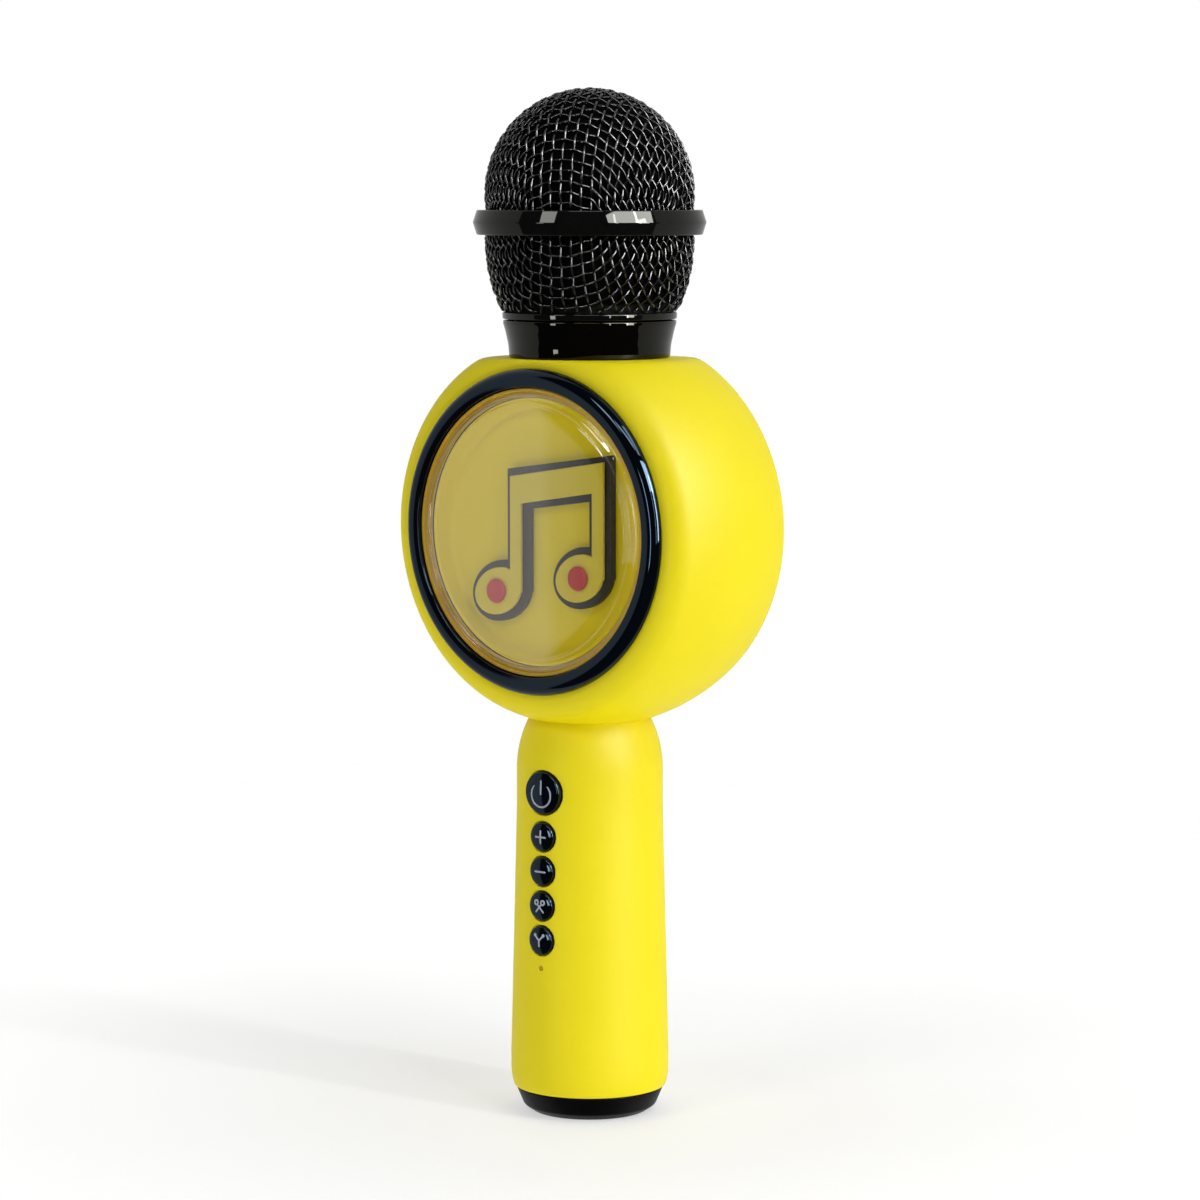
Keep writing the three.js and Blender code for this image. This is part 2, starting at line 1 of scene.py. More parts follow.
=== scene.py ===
import math
import bmesh
import bpy
import numpy as np
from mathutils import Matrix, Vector


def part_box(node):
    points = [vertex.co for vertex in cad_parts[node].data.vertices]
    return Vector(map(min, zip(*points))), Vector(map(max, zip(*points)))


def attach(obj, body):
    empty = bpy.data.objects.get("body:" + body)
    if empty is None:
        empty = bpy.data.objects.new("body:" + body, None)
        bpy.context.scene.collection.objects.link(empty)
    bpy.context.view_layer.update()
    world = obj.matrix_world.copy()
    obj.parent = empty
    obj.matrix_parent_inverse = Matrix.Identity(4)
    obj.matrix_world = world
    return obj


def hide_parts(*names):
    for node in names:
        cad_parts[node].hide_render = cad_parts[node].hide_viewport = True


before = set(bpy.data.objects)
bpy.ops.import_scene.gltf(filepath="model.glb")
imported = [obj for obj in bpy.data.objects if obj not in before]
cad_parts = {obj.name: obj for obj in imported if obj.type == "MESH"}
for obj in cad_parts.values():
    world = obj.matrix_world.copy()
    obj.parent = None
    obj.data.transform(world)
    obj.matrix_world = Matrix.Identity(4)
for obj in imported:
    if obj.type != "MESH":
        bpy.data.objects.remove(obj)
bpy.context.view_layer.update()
metre = 1000.0  # shapes are worked out in millimetres and divided by this when they become meshes


def nodeBox(node):
    # Lowest and highest corner of a CAD node, in millimetres.
    low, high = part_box(node)
    return np.array(low) * metre, np.array(high) * metre


def nodeCentre(node):
    low, high = nodeBox(node)
    return (low + high) / 2


bodyZ = nodeCentre("front_bezel")[2]
bodyHigh = nodeBox("body_shell")[1]
bodyRadius = bodyHigh[0]
bodyTop = bodyHigh[2]
print("frame loaded, body centre at", round(bodyZ, 2), "mm")


def linkPiece(name, points, faces, material, body, slotName, replaced=(), sharp=40):
    # Puts an array of points and of four-sided faces into a mesh, merges doubles and turns the faces
    # outwards.
    used, faces = np.unique(faces, return_inverse=True)
    faces = faces.reshape(-1, 4)
    points = points.reshape(-1, 3)[used] / metre
    mesh = bpy.data.meshes.new(name)
    mesh.vertices.add(len(points))
    mesh.vertices.foreach_set("co", points.ravel())
    mesh.loops.add(faces.size)
    mesh.loops.foreach_set("vertex_index", faces.ravel().astype(np.int32))
    mesh.polygons.add(len(faces))
    mesh.polygons.foreach_set("loop_start", np.arange(0, faces.size, 4, dtype=np.int32))
    mesh.update(calc_edges=True)
    shape = bmesh.new()
    shape.from_mesh(mesh)
    bmesh.ops.remove_doubles(shape, verts=shape.verts, dist=2e-6)
    bmesh.ops.recalc_face_normals(shape, faces=shape.faces)
    shape.to_mesh(mesh)
    shape.free()
    mesh.shade_smooth()
    mesh.set_sharp_from_angle(angle=math.radians(sharp))
    mesh.materials.append(material)
    piece = bpy.data.objects.new(name, mesh)
    bpy.context.scene.collection.objects.link(piece)
    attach(piece, body)
    if replaced:
        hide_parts(*replaced)
    return piece


def gridFaces(rows, columns, closeRows=False, closeColumns=True, start=0):
    # Index array of the quads of a rows by columns grid, wrapped round where asked.
    r = np.arange(rows if closeRows else rows - 1)
    c = np.arange(columns if closeColumns else columns - 1)
    a = r[:, None] * columns + c[None]
    b = r[:, None] * columns + (c[None] + 1) % columns
    d = ((r[:, None] + 1) % rows) * columns + c[None]
    e = ((r[:, None] + 1) % rows) * columns + (c[None] + 1) % columns
    return np.stack([a, b, e, d], -1).reshape(-1, 4) + start


def gather(*grids):
    # Joins several (points, faces) pairs into one pair.
    points = np.concatenate([p.reshape(-1, 3) for p, f in grids])
    starts = np.cumsum([0] + [p.size // 3 for p, f in grids[:-1]])
    faces = np.concatenate([f + s for (p, f), s in zip(grids, starts)])
    return points, faces


def rounded(corners, steps=6):
    # An outline of (r, h, fillet) corners, each one replaced by an arc that touches both of its sides.
    corners = np.array(corners, float)
    outline = []
    for here, before, after in zip(corners, np.roll(corners, 1, 0), np.roll(corners, -1, 0)):
        u = before[:2] - here[:2]
        v = after[:2] - here[:2]
        u /= np.linalg.norm(u)
        v /= np.linalg.norm(v)
        half = math.acos(np.clip(u @ v, -1, 1)) / 2
        if here[2] <= 0 or math.cos(half) < 1e-3:
            outline.append(here[None, :2])
            continue
        middle = here[:2] + (u + v) / np.linalg.norm(u + v) * here[2] / math.sin(half)
        first = here[:2] + u * here[2] / math.tan(half) - middle
        last = here[:2] + v * here[2] / math.tan(half) - middle
        t = np.linspace(0, 1, steps + 1)[:, None]
        arc = first * (1 - t) + last * t
        arc *= here[2] / np.linalg.norm(arc, axis=1, keepdims=True)
        outline.append(middle + arc)
    return np.concatenate(outline)


def turnedZ(profile, columns=160):
    # Carries an (r, z) profile round the vertical axis: x = r cos a, y = r sin a.
    a = np.linspace(0, 2 * np.pi, columns, endpoint=False)
    r, z = profile[:, :1], profile[:, 1:]
    return np.stack([r * np.cos(a), r * np.sin(a), z + 0 * a], -1)


def turnedY(profile, columns=224, side=-1, x=0.0, z=None):
    # Carries an (r, depth) profile round a front-to-back axis: y = side times depth.
    a = np.linspace(0, 2 * np.pi, columns, endpoint=False)
    r, depth = profile[:, :1], profile[:, 1:]
    middle = bodyZ if z is None else z
    return np.stack([x + r * np.cos(a), side * depth + 0 * a, middle + r * np.sin(a)], -1)


def ringPiece(name, grid, *rest, **more):
    # A turned ring whose profile closes on itself.
    faces = gridFaces(grid.shape[0], grid.shape[1], closeRows=True)
    return linkPiece(name, grid, faces, *rest, **more)


def domePiece(name, grid, *rest, **more):
    # A turned solid whose profile starts and ends on the axis.
    return linkPiece(name, grid, gridFaces(grid.shape[0], grid.shape[1]), *rest, **more)


def arcPoints(centre, radius, start, end, steps):
    t = np.radians(np.linspace(start, end, steps))
    return np.stack([centre[0] + radius * np.cos(t), centre[1] + radius * np.sin(t)], -1)


def smoothStep(x):
    x = np.clip(x, 0, 1)
    return x * x * (3 - 2 * x)


def addNode(tree, kind, values=(), **settings):
    # A new node, with its settings made first and then its input values filled in.
    node = tree.nodes.new("ShaderNode" + kind)
    for setting, value in settings.items():
        setattr(node, setting, value)
    for socket, value in dict(values).items():
        node.inputs[socket].default_value = value
    return node


def finish(name, look):
    # A moulded or coated surface: two close colours mixed by soft mottling, a fine grain that
    # raises the surface and varies its roughness, and faint wider unevenness under the grain.
    material = bpy.data.materials.new(name)
    material.use_nodes = True
    tree = material.node_tree
    links = tree.links
    shader = tree.nodes["Principled BSDF"]
    place = addNode(tree, "TexCoord")

    def noise(size, detail):
        made = addNode(tree, "TexNoise", {"Scale": metre / size, "Detail": detail})
        links.new(place.outputs["Object"], made.inputs["Vector"])
        return made.outputs["Fac"]

    def ramp(source, low, high):
        made = addNode(tree, "MapRange", {"From Min": 0.3, "From Max": 0.7,
                                          "To Min": low, "To Max": high})
        links.new(source, made.inputs["Value"])
        return made.outputs["Result"]

    def bump(source, height, below=None):
        made = addNode(tree, "Bump", {"Distance": height / metre})
        links.new(source, made.inputs["Height"])
        if below:
            links.new(below, made.inputs["Normal"])
        return made.outputs["Normal"]

    mottle = noise(look.get("mottleSize", 9), 3)
    grain = noise(look.get("grainSize", 0.35), 2)
    second = look.get("second", [0.86 * c for c in look["color"]])
    mix = addNode(tree, "Mix", {"A": (*look["color"], 1), "B": (*second, 1)}, data_type="RGBA")
    links.new(ramp(mottle, 0, look.get("mottle", 0.5)), mix.inputs["Factor"])
    links.new(mix.outputs["Result"], shader.inputs["Base Color"])
    rough = look["rough"]
    spread = look.get("spread", 0.15)
    links.new(ramp(grain, rough * (1 - spread), rough * (1 + spread)), shader.inputs["Roughness"])
    wide = bump(mottle, look.get("wave", 0.01))
    links.new(bump(grain, look.get("grain", 0.006), wide), shader.inputs["Normal"])
    for socket, key, usual in (("Metallic", "metal", 0), ("Coat Weight", "coat", 0),
                               ("Specular IOR Level", "specular", 0.5),
                               ("Subsurface Weight", "under", 0), ("Emission Strength", "glow", 0)):
        shader.inputs[socket].default_value = look.get(key, usual)
    shader.inputs["Specular Tint"].default_value = (*look.get("glint", (1, 1, 1)), 1)
    shader.inputs["Subsurface Scale"].default_value = 0.002
    shader.inputs["Emission Color"].default_value = (*look["color"], 1)
    return material


finishes = {
    "softYellow": dict(color=(0.93, 0.785, 0.001), second=(0.91, 0.76, 0.001), rough=0.5,
                       grainSize=0.22, grain=0.0035, wave=0.004, mottleSize=14, mottle=0.6,
                       specular=0.22),
    "navyGloss": dict(color=(0.001, 0.002, 0.004), second=(0.001, 0.001, 0.002), rough=0.025,
                      grainSize=1.4, grain=0.0006, wave=0.002, coat=0.25, specular=0.36,
                      glint=(0.25, 0.6, 1.0)),
    "pianoBlack": dict(color=(0.001, 0.001, 0.001), second=(0.002, 0.001, 0.001), rough=0.03,
                       grainSize=1.8, grain=0.0004, wave=0.003, specular=0.28, glint=(1.0, 1.0, 0.82)),
    "bandBlack": dict(color=(0.004, 0.004, 0.004), second=(0.002, 0.002, 0.002), rough=0.03,
                      grainSize=1.2, grain=0.0005, wave=0.004, specular=0.28, glint=(1.0, 1.0, 0.93)),
    "baseBlack": dict(color=(0.002, 0.002, 0.0025), rough=0.4, grainSize=0.25, grain=0.004, spread=0.25,
                      specular=0.12),
    "wireBlack": dict(color=(0.002, 0.002, 0.002), second=(0.001, 0.001, 0.001), rough=0.06,
                      grainSize=0.5, grain=0.001, specular=0.8),
    "sleeveBlack": dict(color=(0.002, 0.002, 0.002), rough=0.8, grainSize=0.4, grain=0.01, specular=0.1),
    "foamBlack": dict(color=(0.002, 0.002, 0.002), second=(0.001, 0.001, 0.001), rough=0.95,
                      grainSize=0.7, grain=0.25, mottleSize=2.5, mottle=1, specular=0.03),
    # The backdrop dish glows faintly in its own mustard colour: painted light that lifts the shade the
    # bezel and the emblem cast into the recess behind the lens.
    "mustardPaintedGlow": dict(color=(0.70, 0.56, 0.001), second=(0.68, 0.54, 0.001), rough=0.55, grainSize=0.5,
                    grain=0.002, mottleSize=20, specular=0.2, glow=0.17),
    "amberSeal": dict(color=(0.66, 0.42, 0.02), second=(0.52, 0.29, 0.02), rough=0.25, grainSize=0.8,
                      under=0.3),
    "emblemBlack": dict(color=(0.010, 0.011, 0.012), rough=0.35, grainSize=0.4, grain=0.002),
    "emblemYellow": dict(color=(0.80, 0.66, 0.035), second=(0.76, 0.61, 0.03), rough=0.4, grainSize=0.4,
                         grain=0.002, specular=0.3),
    "emblemRed": dict(color=(0.62, 0.012, 0.016), second=(0.5, 0.01, 0.012), rough=0.35, grainSize=0.4,
                      grain=0.002),
    "iconSilver": dict(color=(0.42, 0.46, 0.55), second=(0.34, 0.38, 0.46), rough=0.4, metal=0.2,
                       grainSize=0.25, grain=0.003),
    "rubber": dict(color=(0.012, 0.012, 0.012), rough=0.75, grainSize=0.3, grain=0.012, spread=0.2),
    "innerPlastic": dict(color=(0.05, 0.052, 0.058), rough=0.55, grainSize=0.4, grain=0.006),
    "board": dict(color=(0.006, 0.09, 0.03), second=(0.004, 0.055, 0.018), rough=0.3, grainSize=0.6,
                  mottleSize=1.6, mottle=1, grain=0.004),
    "plated": dict(color=(0.55, 0.56, 0.58), second=(0.42, 0.43, 0.45), rough=0.28, metal=1,
                   grainSize=0.3, grain=0.002, spread=0.3),
    "conePaper": dict(color=(0.014, 0.014, 0.016), rough=0.85, grainSize=0.5, grain=0.03),
    "magnetIron": dict(color=(0.14, 0.14, 0.15), rough=0.45, metal=0.8, grainSize=0.4, grain=0.006),
    "copper": dict(color=(0.55, 0.22, 0.08), rough=0.3, metal=0.9, grainSize=0.2, grain=0.01),
    "cellWrap": dict(color=(0.03, 0.13, 0.42), rough=0.3, grainSize=1.5, grain=0.004, coat=0.3),
    "leadRed": dict(color=(0.42, 0.012, 0.01), rough=0.4, grainSize=0.5, grain=0.004),
}
made = {name: finish(name, look) for name, look in finishes.items()}


def clearFinish(name, tint, rough):
    # Clear plastic cover: it reflects more the flatter it is seen, by the fifth power of one minus the
    # cosine, and lets everything else through. A faint haze varies how sharp the reflections are.
    material = bpy.data.materials.new(name)
    material.use_nodes = True
    tree = material.node_tree
    links = tree.links
    shader = tree.nodes["Principled BSDF"]
    facing = addNode(tree, "LayerWeight", {"Blend": 0.5})
    steep = addNode(tree, "Math", {1: 5}, operation="POWER")
    mirror = addNode(tree, "MapRange", {"To Min": 0.085})
    place = addNode(tree, "TexCoord")
    haze = addNode(tree, "TexNoise", {"Scale": metre / 6})
    spread = addNode(tree, "MapRange", {"To Min": rough, "To Max": rough * 2.2})
    links.new(place.outputs["Object"], haze.inputs["Vector"])
    links.new(haze.outputs["Fac"], spread.inputs["Value"])
    links.new(spread.outputs["Result"], shader.inputs["Roughness"])
    links.new(facing.outputs["Facing"], steep.inputs[0])
    links.new(steep.outputs["Value"], mirror.inputs["Value"])
    links.new(mirror.outputs["Result"], shader.inputs["Alpha"])
    shader.inputs["Base Color"].default_value = (*tint, 1)
    shader.inputs["Metallic"].default_value = 1
    return material


lensClear = clearFinish("lensClear", (1, 1, 1), 0.012)
print(len(finishes) + 1, "finishes made")

studio = dict(azimuth=39.2, pitch=5.8, distance=987.8, aimHeight=125.86, aimRight=2.49, lens=121.5,
              floorSize=900)


def makeStudio():
    # The camera looks at a point on the axis from an azimuth and a pitch, at a set distance.
    a, p = math.radians(studio["azimuth"]), math.radians(studio["pitch"])
    right = Vector((math.cos(a), math.sin(a), 0))
    back = Vector((math.sin(a) * math.cos(p), -math.cos(a) * math.cos(p), math.sin(p)))
    aim = Vector((0, 0, studio["aimHeight"])) + right * studio["aimRight"]
    camera = bpy.data.objects.new("camera", bpy.data.cameras.new("camera"))
    camera.data.lens = studio["lens"]
    camera.data.sensor_width = 36
    camera.data.clip_start, camera.data.clip_end = 0.05, 20
    camera.location = (aim + back * studio["distance"]) / metre
    camera.rotation_mode = "QUATERNION"
    camera.rotation_quaternion = (-back).to_track_quat("-Z", "Y")
    bpy.context.scene.collection.objects.link(camera)
    bpy.context.scene.camera = camera
    bpy.context.scene.view_settings.view_transform = "Standard"


makeStudio()
surround = dict(white=0.6, dark=0.03, backAzimuth=216.8, halfWidth=103.8, edge=0.35)


def makeWorld():
    # White sweep behind the object and a dark room on the camera's side: the brightness steps down
    # where the angle away from the back direction passes halfWidth degrees. The camera sees white.
    world = bpy.data.worlds.new("studioWorld")
    world.use_nodes = True
    tree = world.node_tree
    links = tree.links
    background = tree.nodes["Background"]
    place = addNode(tree, "TexCoord")
    turned = addNode(tree, "VectorRotate", {"Angle": math.radians(90 - surround["backAzimuth"])},
                     rotation_type="Z_AXIS")
    parts = addNode(tree, "SeparateXYZ")
    angle = addNode(tree, "Math", operation="ARCTAN2")
    size = addNode(tree, "Math", operation="ABSOLUTE")
    step = addNode(tree, "MapRange", {
        "From Min": math.radians(surround["halfWidth"] - surround["edge"]),
        "From Max": math.radians(surround["halfWidth"] + surround["edge"]),
        "To Min": surround["white"], "To Max": surround["dark"]})
    seen = addNode(tree, "LightPath")
    bright = addNode(tree, "Math", operation="MAXIMUM")
    links.new(place.outputs["Generated"], turned.inputs["Vector"])
    links.new(turned.outputs["Vector"], parts.inputs["Vector"])
    links.new(parts.outputs["Y"], angle.inputs[0])
    links.new(parts.outputs["X"], angle.inputs[1])
    links.new(angle.outputs["Value"], size.inputs[0])
    links.new(size.outputs["Value"], step.inputs["Value"])
    links.new(step.outputs["Result"], bright.inputs[0])
    links.new(seen.outputs["Is Camera Ray"], bright.inputs[1])
    links.new(bright.outputs["Value"], background.inputs["Strength"])
    background.inputs["Color"].default_value = (1, 1, 1, 1)
    bpy.context.scene.world = world


makeWorld()


def areaLight(name, azimuth, height, distance, width, tall, glow):
    # A softbox at an angle round the object, azimuth 0 in front of it, that looks at the body.
    # Its power is pi times its area times the brightness asked of its face.
    t = math.radians(azimuth)
    lamp = bpy.data.objects.new(name, bpy.data.lights.new(name, "AREA"))
    lamp.data.shape = "RECTANGLE"
    lamp.data.size, lamp.data.size_y = width / metre, tall / metre
    lamp.data.energy = math.pi * width * tall / metre ** 2 * glow
    spot = Vector((math.sin(t) * distance, -math.cos(t) * distance, height))
    lamp.location = spot / metre
    lamp.rotation_mode = "QUATERNION"
    lamp.rotation_quaternion = (Vector((0, 0, 150)) - spot).to_track_quat("-Z", "Y")
    bpy.context.scene.collection.objects.link(lamp)
    return lamp


areaLight("topSoft", 84, 1150, 700, 420, 420, 6.6)
areaLight("fillLeft", -6, 800, 900, 260, 260, 9)
areaLight("stripRight", 66, 470, 1100, 36, 950, 20)
areaLight("stripThin", 90, 480, 1100, 40, 950, 38)
# These four only draw highlights on the glossy pieces and light nothing else.
for glint in (("glintRight", 84, 850, 1100, 1000, 420, 18),
              ("glintLeft", -10, 120, 1200, 150, 360, 13),
              ("glintTop", 35, 1000, 760, 560, 110, 14),
              ("glintSide", 94, 400, 1000, 200, 700, 22)):
    areaLight(*glint).visible_diffuse = False


def makeFloor():
    # A flat square grid just under the object.
    half = studio["floorSize"] / 2
    size = 9
    line = np.linspace(-half, half, size)
    x, y = np.meshgrid(line, line, indexing="ij")
    points = np.stack([x, y, 0 * x - 0.05], -1)
    mesh = bpy.data.meshes.new("floor")
    mesh.from_pydata((points.reshape(-1, 3) / metre).tolist(), [],
                     gridFaces(size, size, closeColumns=False).tolist())
    floor = bpy.data.objects.new("floor", mesh)
    bpy.context.scene.collection.objects.link(floor)
    pale = finish("paleFloor", dict(color=(0.5, 0.5, 0.5), second=(0.49, 0.49, 0.49), rough=0.6,
                                    grainSize=3, grain=0.01, specular=0.1))
    # The floor glows a little, more so away from the object: the glow grows with the distance from
    # the middle, so that the pale floor runs into the white surround without an edge.
    tree = pale.node_tree
    links = tree.links
    shader = tree.nodes["Principled BSDF"]
    away = addNode(tree, "VectorMath", operation="LENGTH")
    glow = addNode(tree, "MapRange", {"From Min": 0.06, "From Max": 0.26, "To Min": 0.52, "To Max": 0.72})
    links.new(tree.nodes["Texture Coordinate"].outputs["Object"], away.inputs[0])
    links.new(away.outputs["Value"], glow.inputs["Value"])
    links.new(glow.outputs["Result"], shader.inputs["Emission Strength"])
    shader.inputs["Emission Color"].default_value = (1, 1, 1, 1)
    mesh.materials.append(pale)
    floor.visible_glossy = False


makeFloor()
print("camera, floor and lights ready")

body = dict(edge=6.0, face=40.0, half=21.3, wall=2.4, opening=35.6, softCut=0.45)


def crownCentre():
    # The side is an arc tangent to both edge fillets: its centre lies on the mid plane, this far out.
    a = body["half"] - body["edge"]
    drop = body["face"] - bodyRadius
    crown = (body["edge"] ** 2 - a ** 2 - drop ** 2) / (2 * (drop + body["edge"]))
    return bodyRadius - crown, crown, math.degrees(math.atan2(a, body["face"] - bodyRadius + crown))


def softMin(a, b, k):
    # The smaller of a and b, with the corner between them rounded over a width k.
    return b - k * np.logaddexp(0, (b - a) / k)


def makeBody():
    # A profile of arcs turned round the front-to-back axis, cut flat at the top by the soft minimum.
    centre, crown, meet = crownCentre()
    a = body["half"] - body["edge"]
    side = arcPoints((centre, 0), crown, -meet, meet, 64)
    upper = arcPoints((body["face"], a), body["edge"], meet, 90, 20)
    lower = upper[::-1] * (1, -1)
    flat = np.array([[body["opening"] + 1.2, body["half"]], [body["opening"], body["half"] - 0.3],
                     [body["opening"], body["half"] - 3.4]])
    outer = np.concatenate([flat[::-1] * (1, -1), lower[:-1], side, upper[1:], flat])
    inner = arcPoints((centre, 0), crown - body["wall"], 22, -22, 12)
    profile = np.concatenate([outer, inner])
    columns = 620
    turn = np.linspace(0, 2 * np.pi, columns, endpoint=False)
    turn = turn + 0.28 * np.sin(2 * turn) / 2  # crowds the columns towards the top and the handle
    r, y = profile[:, :1], profile[:, 1:]
    rise = r * np.sin(turn)
    limit = np.full(len(profile), bodyTop - bodyZ)
    limit[len(outer):] -= body["wall"]
    rise = softMin(limit[:, None] + 0 * rise, rise, body["softCut"])
    grid = np.stack([r * np.cos(turn), y + 0 * turn, bodyZ + rise], -1)
    ringPiece("bodySkin", grid, made["softYellow"], "housing", "shell_yellow", ["body_shell"], sharp=50)
    return centre, crown


centre, crown = makeBody()
print("body made")


def bodyUnderside(x, y):
    # Height of the body's lower surface over the point (x, y).
    girth = centre + np.sqrt(crown ** 2 - y ** 2)
    return bodyZ - np.sqrt(girth ** 2 - x ** 2)


handle = dict(bottom=6.3, wide=19.37, wideZ=15.0, top=17.9, taperTop=76.0, shoulderZ=84.5, shoulder=28.0,
              roll=0.75, wall=2.2, fixedTop=90.0)
buttonNodes = ["button_power", "button_volume_up", "button_volume_down", "button_echo", "button_voice"]
holes = dict(gap=0.2, lip=0.35, depth=1.7, flange=0.55, light=0.45)
portSlot = dict(halfWidth=4.95, halfHeight=2.1, corner=1.9, behind=0.6, clear=0.4, innerReach=5)


def handleRadius(z):
    # Outer radius: a small roll at the foot, a straight taper, a neck and an arc at the shoulder.
    taper = handle["top"] + (handle["wide"] - handle["top"]) * np.clip(
        (handle["taperTop"] - z) / (handle["taperTop"] - handle["wideZ"]), 0, 1)
    foot = handle["roll"] * np.clip((12.0 - z) / 5.7, 0, 1) ** 3
    over = np.clip(z - handle["shoulderZ"], 0, handle["shoulder"] * 0.9)
    return taper - foot - handle["shoulder"] + np.sqrt(handle["shoulder"] ** 2 - over ** 2)


def makeHandle():
    # The radius is carried round the axis: x = r cos a, y = r sin a. It sinks by smooth steps at the
    # buttons and the light, and the port's slot is pushed straight in along y.
    front = np.radians(270 + np.linspace(-27, 27, 92))
    rear = np.radians(90 + np.linspace(-19, 19, 56))
    leftSide = np.radians(np.linspace(297, 431, 62)[1:-1])
    rightSide = np.radians(np.linspace(109, 243, 62)[1:-1])
    turn = np.concatenate([rear, rightSide, front, leftSide])
    low = np.linspace(handle["bottom"], 12.5, 16)
    slot = np.linspace(12.7, 21.3, 42)
    middle = np.linspace(21.8, 35.5, 22)
    buttons = np.linspace(36.2, 87.6, 262)
    fixed = np.concatenate([low, slot, middle, buttons, [88.4, 89.2, handle["fixedTop"]]])
    z = fixed[:, None] + 0 * turn
    top = handle["fixedTop"] + 5 + 0 * turn
    for step in range(12):
        reach = handleRadius(top)
        top = bodyUnderside(reach * np.cos(turn), reach * np.sin(turn))
    rise = np.linspace(0, 1, 16)[1:, None]
    z = np.concatenate([z, handle["fixedTop"] + (top[None] + 0.25 - handle["fixedTop"]) * rise])
    r = handleRadius(z)
    x, y = r * np.cos(turn), r * np.sin(turn)
    for node in buttonNodes + ["status_light_pipe"]:
        low, high = nodeBox(node)
        middle = (low + high) / 2
        radius = (high[2] - low[2]) / 2 - holes["flange"] + holes["gap"]
        if node == "status_light_pipe":
            radius = holes["light"]
        away = np.hypot(x - middle[0], z - middle[2])
        sunk = smoothStep((radius + holes["lip"] / 2 - away) / holes["lip"])
        r = r - np.where(y < 0, holes["depth"] * sunk, 0)
    portZ = nodeCentre("charge_port")[2]
    sx = np.abs(x) - (portSlot["halfWidth"] - portSlot["corner"])
    sz = np.abs(z - portZ) - (portSlot["halfHeight"] - portSlot["corner"])
    edge = np.hypot(np.maximum(sx, 0), np.maximum(sz, 0)) + np.minimum(np.maximum(sx, sz), 0)
    edge = edge - portSlot["corner"]
    mouth = (y > 0) * smoothStep((holes["lip"] / 2 - edge) / holes["lip"])
    portDepth = handleRadius(portZ) - nodeBox("charge_port")[0][1] + portSlot["behind"]
    outer = np.stack([r * np.cos(turn), r * np.sin(turn) - portDepth * mouth, z], -1)
    # The inner wall steps back behind the port, so that it doesn't close the slot.
    innerRows = [86, 60, portZ + 5.6, portZ + 4.6, portZ - 4.6, handle["bottom"] + 0.4]
    innerZ = np.array(innerRows)[:, None] + 0 * turn
    innerR = handleRadius(innerZ) - handle["wall"] - 0.3
    inner = np.stack([innerR * np.cos(turn), innerR * np.sin(turn), innerZ], -1)
    behind = (np.abs(inner[..., 0]) < portSlot["halfWidth"] + portSlot["clear"]) & (inner[..., 1] > 0)
    behind = behind & (np.abs(innerZ - portZ) < portSlot["innerReach"])
    inner[..., 1] -= portDepth * behind
    underR = handleRadius(handle["bottom"]) - 0.35
    underZ = handle["bottom"] - 0.12 + 0 * turn
    lip = np.stack([underR * np.cos(turn), underR * np.sin(turn), underZ], -1)[None]
    ringPiece("handleSkin", np.concatenate([lip, outer, inner]), made["softYellow"], "housing",
              "shell_yellow", ["handle_shell"], sharp=60)


makeHandle()
print("handle made")


def makeBase():
    # A rounded outline turned round the axis, and a foot pad whose sole has rings of height
    # one plus the cosine of the radius.
    top = nodeBox("base_cap")[1][2]
    profile = rounded([(0, 1.2, 0), (11.9, 1.2, 0.1), (12.1, 0, 0.2), (14.1, 0, 0.9),
                       (16.3, 1.5, 1.6), (18.2, top - 4.5, 0.25), (17.4, top - 4.3, 0.1),
                       (16.2, top, 0.1), (0, top, 0)])
    domePiece("baseCap", turnedZ(profile), made["baseBlack"], "housing", "base_black", ["base_cap"])
    t = np.linspace(0, 11.7, 60)
    rings = 0.12 * (0.5 + 0.5 * np.cos(2 * np.pi * t / 1.17)) * (t < 10.6) * (t > 2)
    sole = np.stack([t, 0.02 + rings], -1)
    pad = np.concatenate([sole, rounded([(11.7, 0.1, 0.1), (11.7, 0.9, 0.1), (0, 0.9, 0)])])
    domePiece("footPad", turnedZ(pad), made["rubber"], "housing", "soft_rubber", ["foot_pad"])


makeBase()

bezel = dict(outer=39.3, inner=34.8, flat=37.3, lip=23.7, base=21.35, skirt=16.6, seat=32.6,
             shoulder=21.0, step=0.15, tube=35.2)


def makeBezels():
    # A quarter-oval shoulder (r and depth are a cosine and a sine of one angle) and a rounded outline,
    # turned round the front-to-back axis, once on each face of the body.
    b = bezel
    t = np.radians(np.linspace(0, 88, 22))
    foot = b["base"] + b["step"]
    shoulderR = b["flat"] + (b["outer"] - b["flat"]) * np.cos(t)
    shoulder = np.stack([shoulderR, foot + (b["lip"] - foot) * np.sin(t)], -1)
    corners = [(b["flat"] - 0.6, b["lip"], 0), (b["inner"], b["lip"] - 0.05, 0.3),
               (b["inner"], b["shoulder"], 0.15), (b["seat"], b["shoulder"], 0.15),
               (b["seat"], b["skirt"], 0.2), (b["tube"], b["skirt"], 0.2), (b["tube"], b["base"], 0),
               (b["outer"] - 0.2, b["base"], 0)]
    profile = np.concatenate([shoulder, rounded(corners, 8)])
    for name, node, side in (("frontBezel", "front_bezel", -1), ("rearBezel", "rear_bezel", 1)):
        grid = turnedY(profile, 256, side=side)
        ringPiece(name, grid, made["navyGloss"], "housing", "gloss_black", [node])


makeBezels()
lens = dict(radius=33.5, flat=30.2, top=24.1, edge=22.6, under=21.9, foot=21.3)
seal = dict(inner=32.4, outer=34.6, lipInner=33.75, back=21.02, floor=21.24, front=22.7)
dish = dict(flat=30.6, wallIn=31.3, wallOut=32.2, rim=35.0, wallTop=20.9, front=16.2, back=14.6)


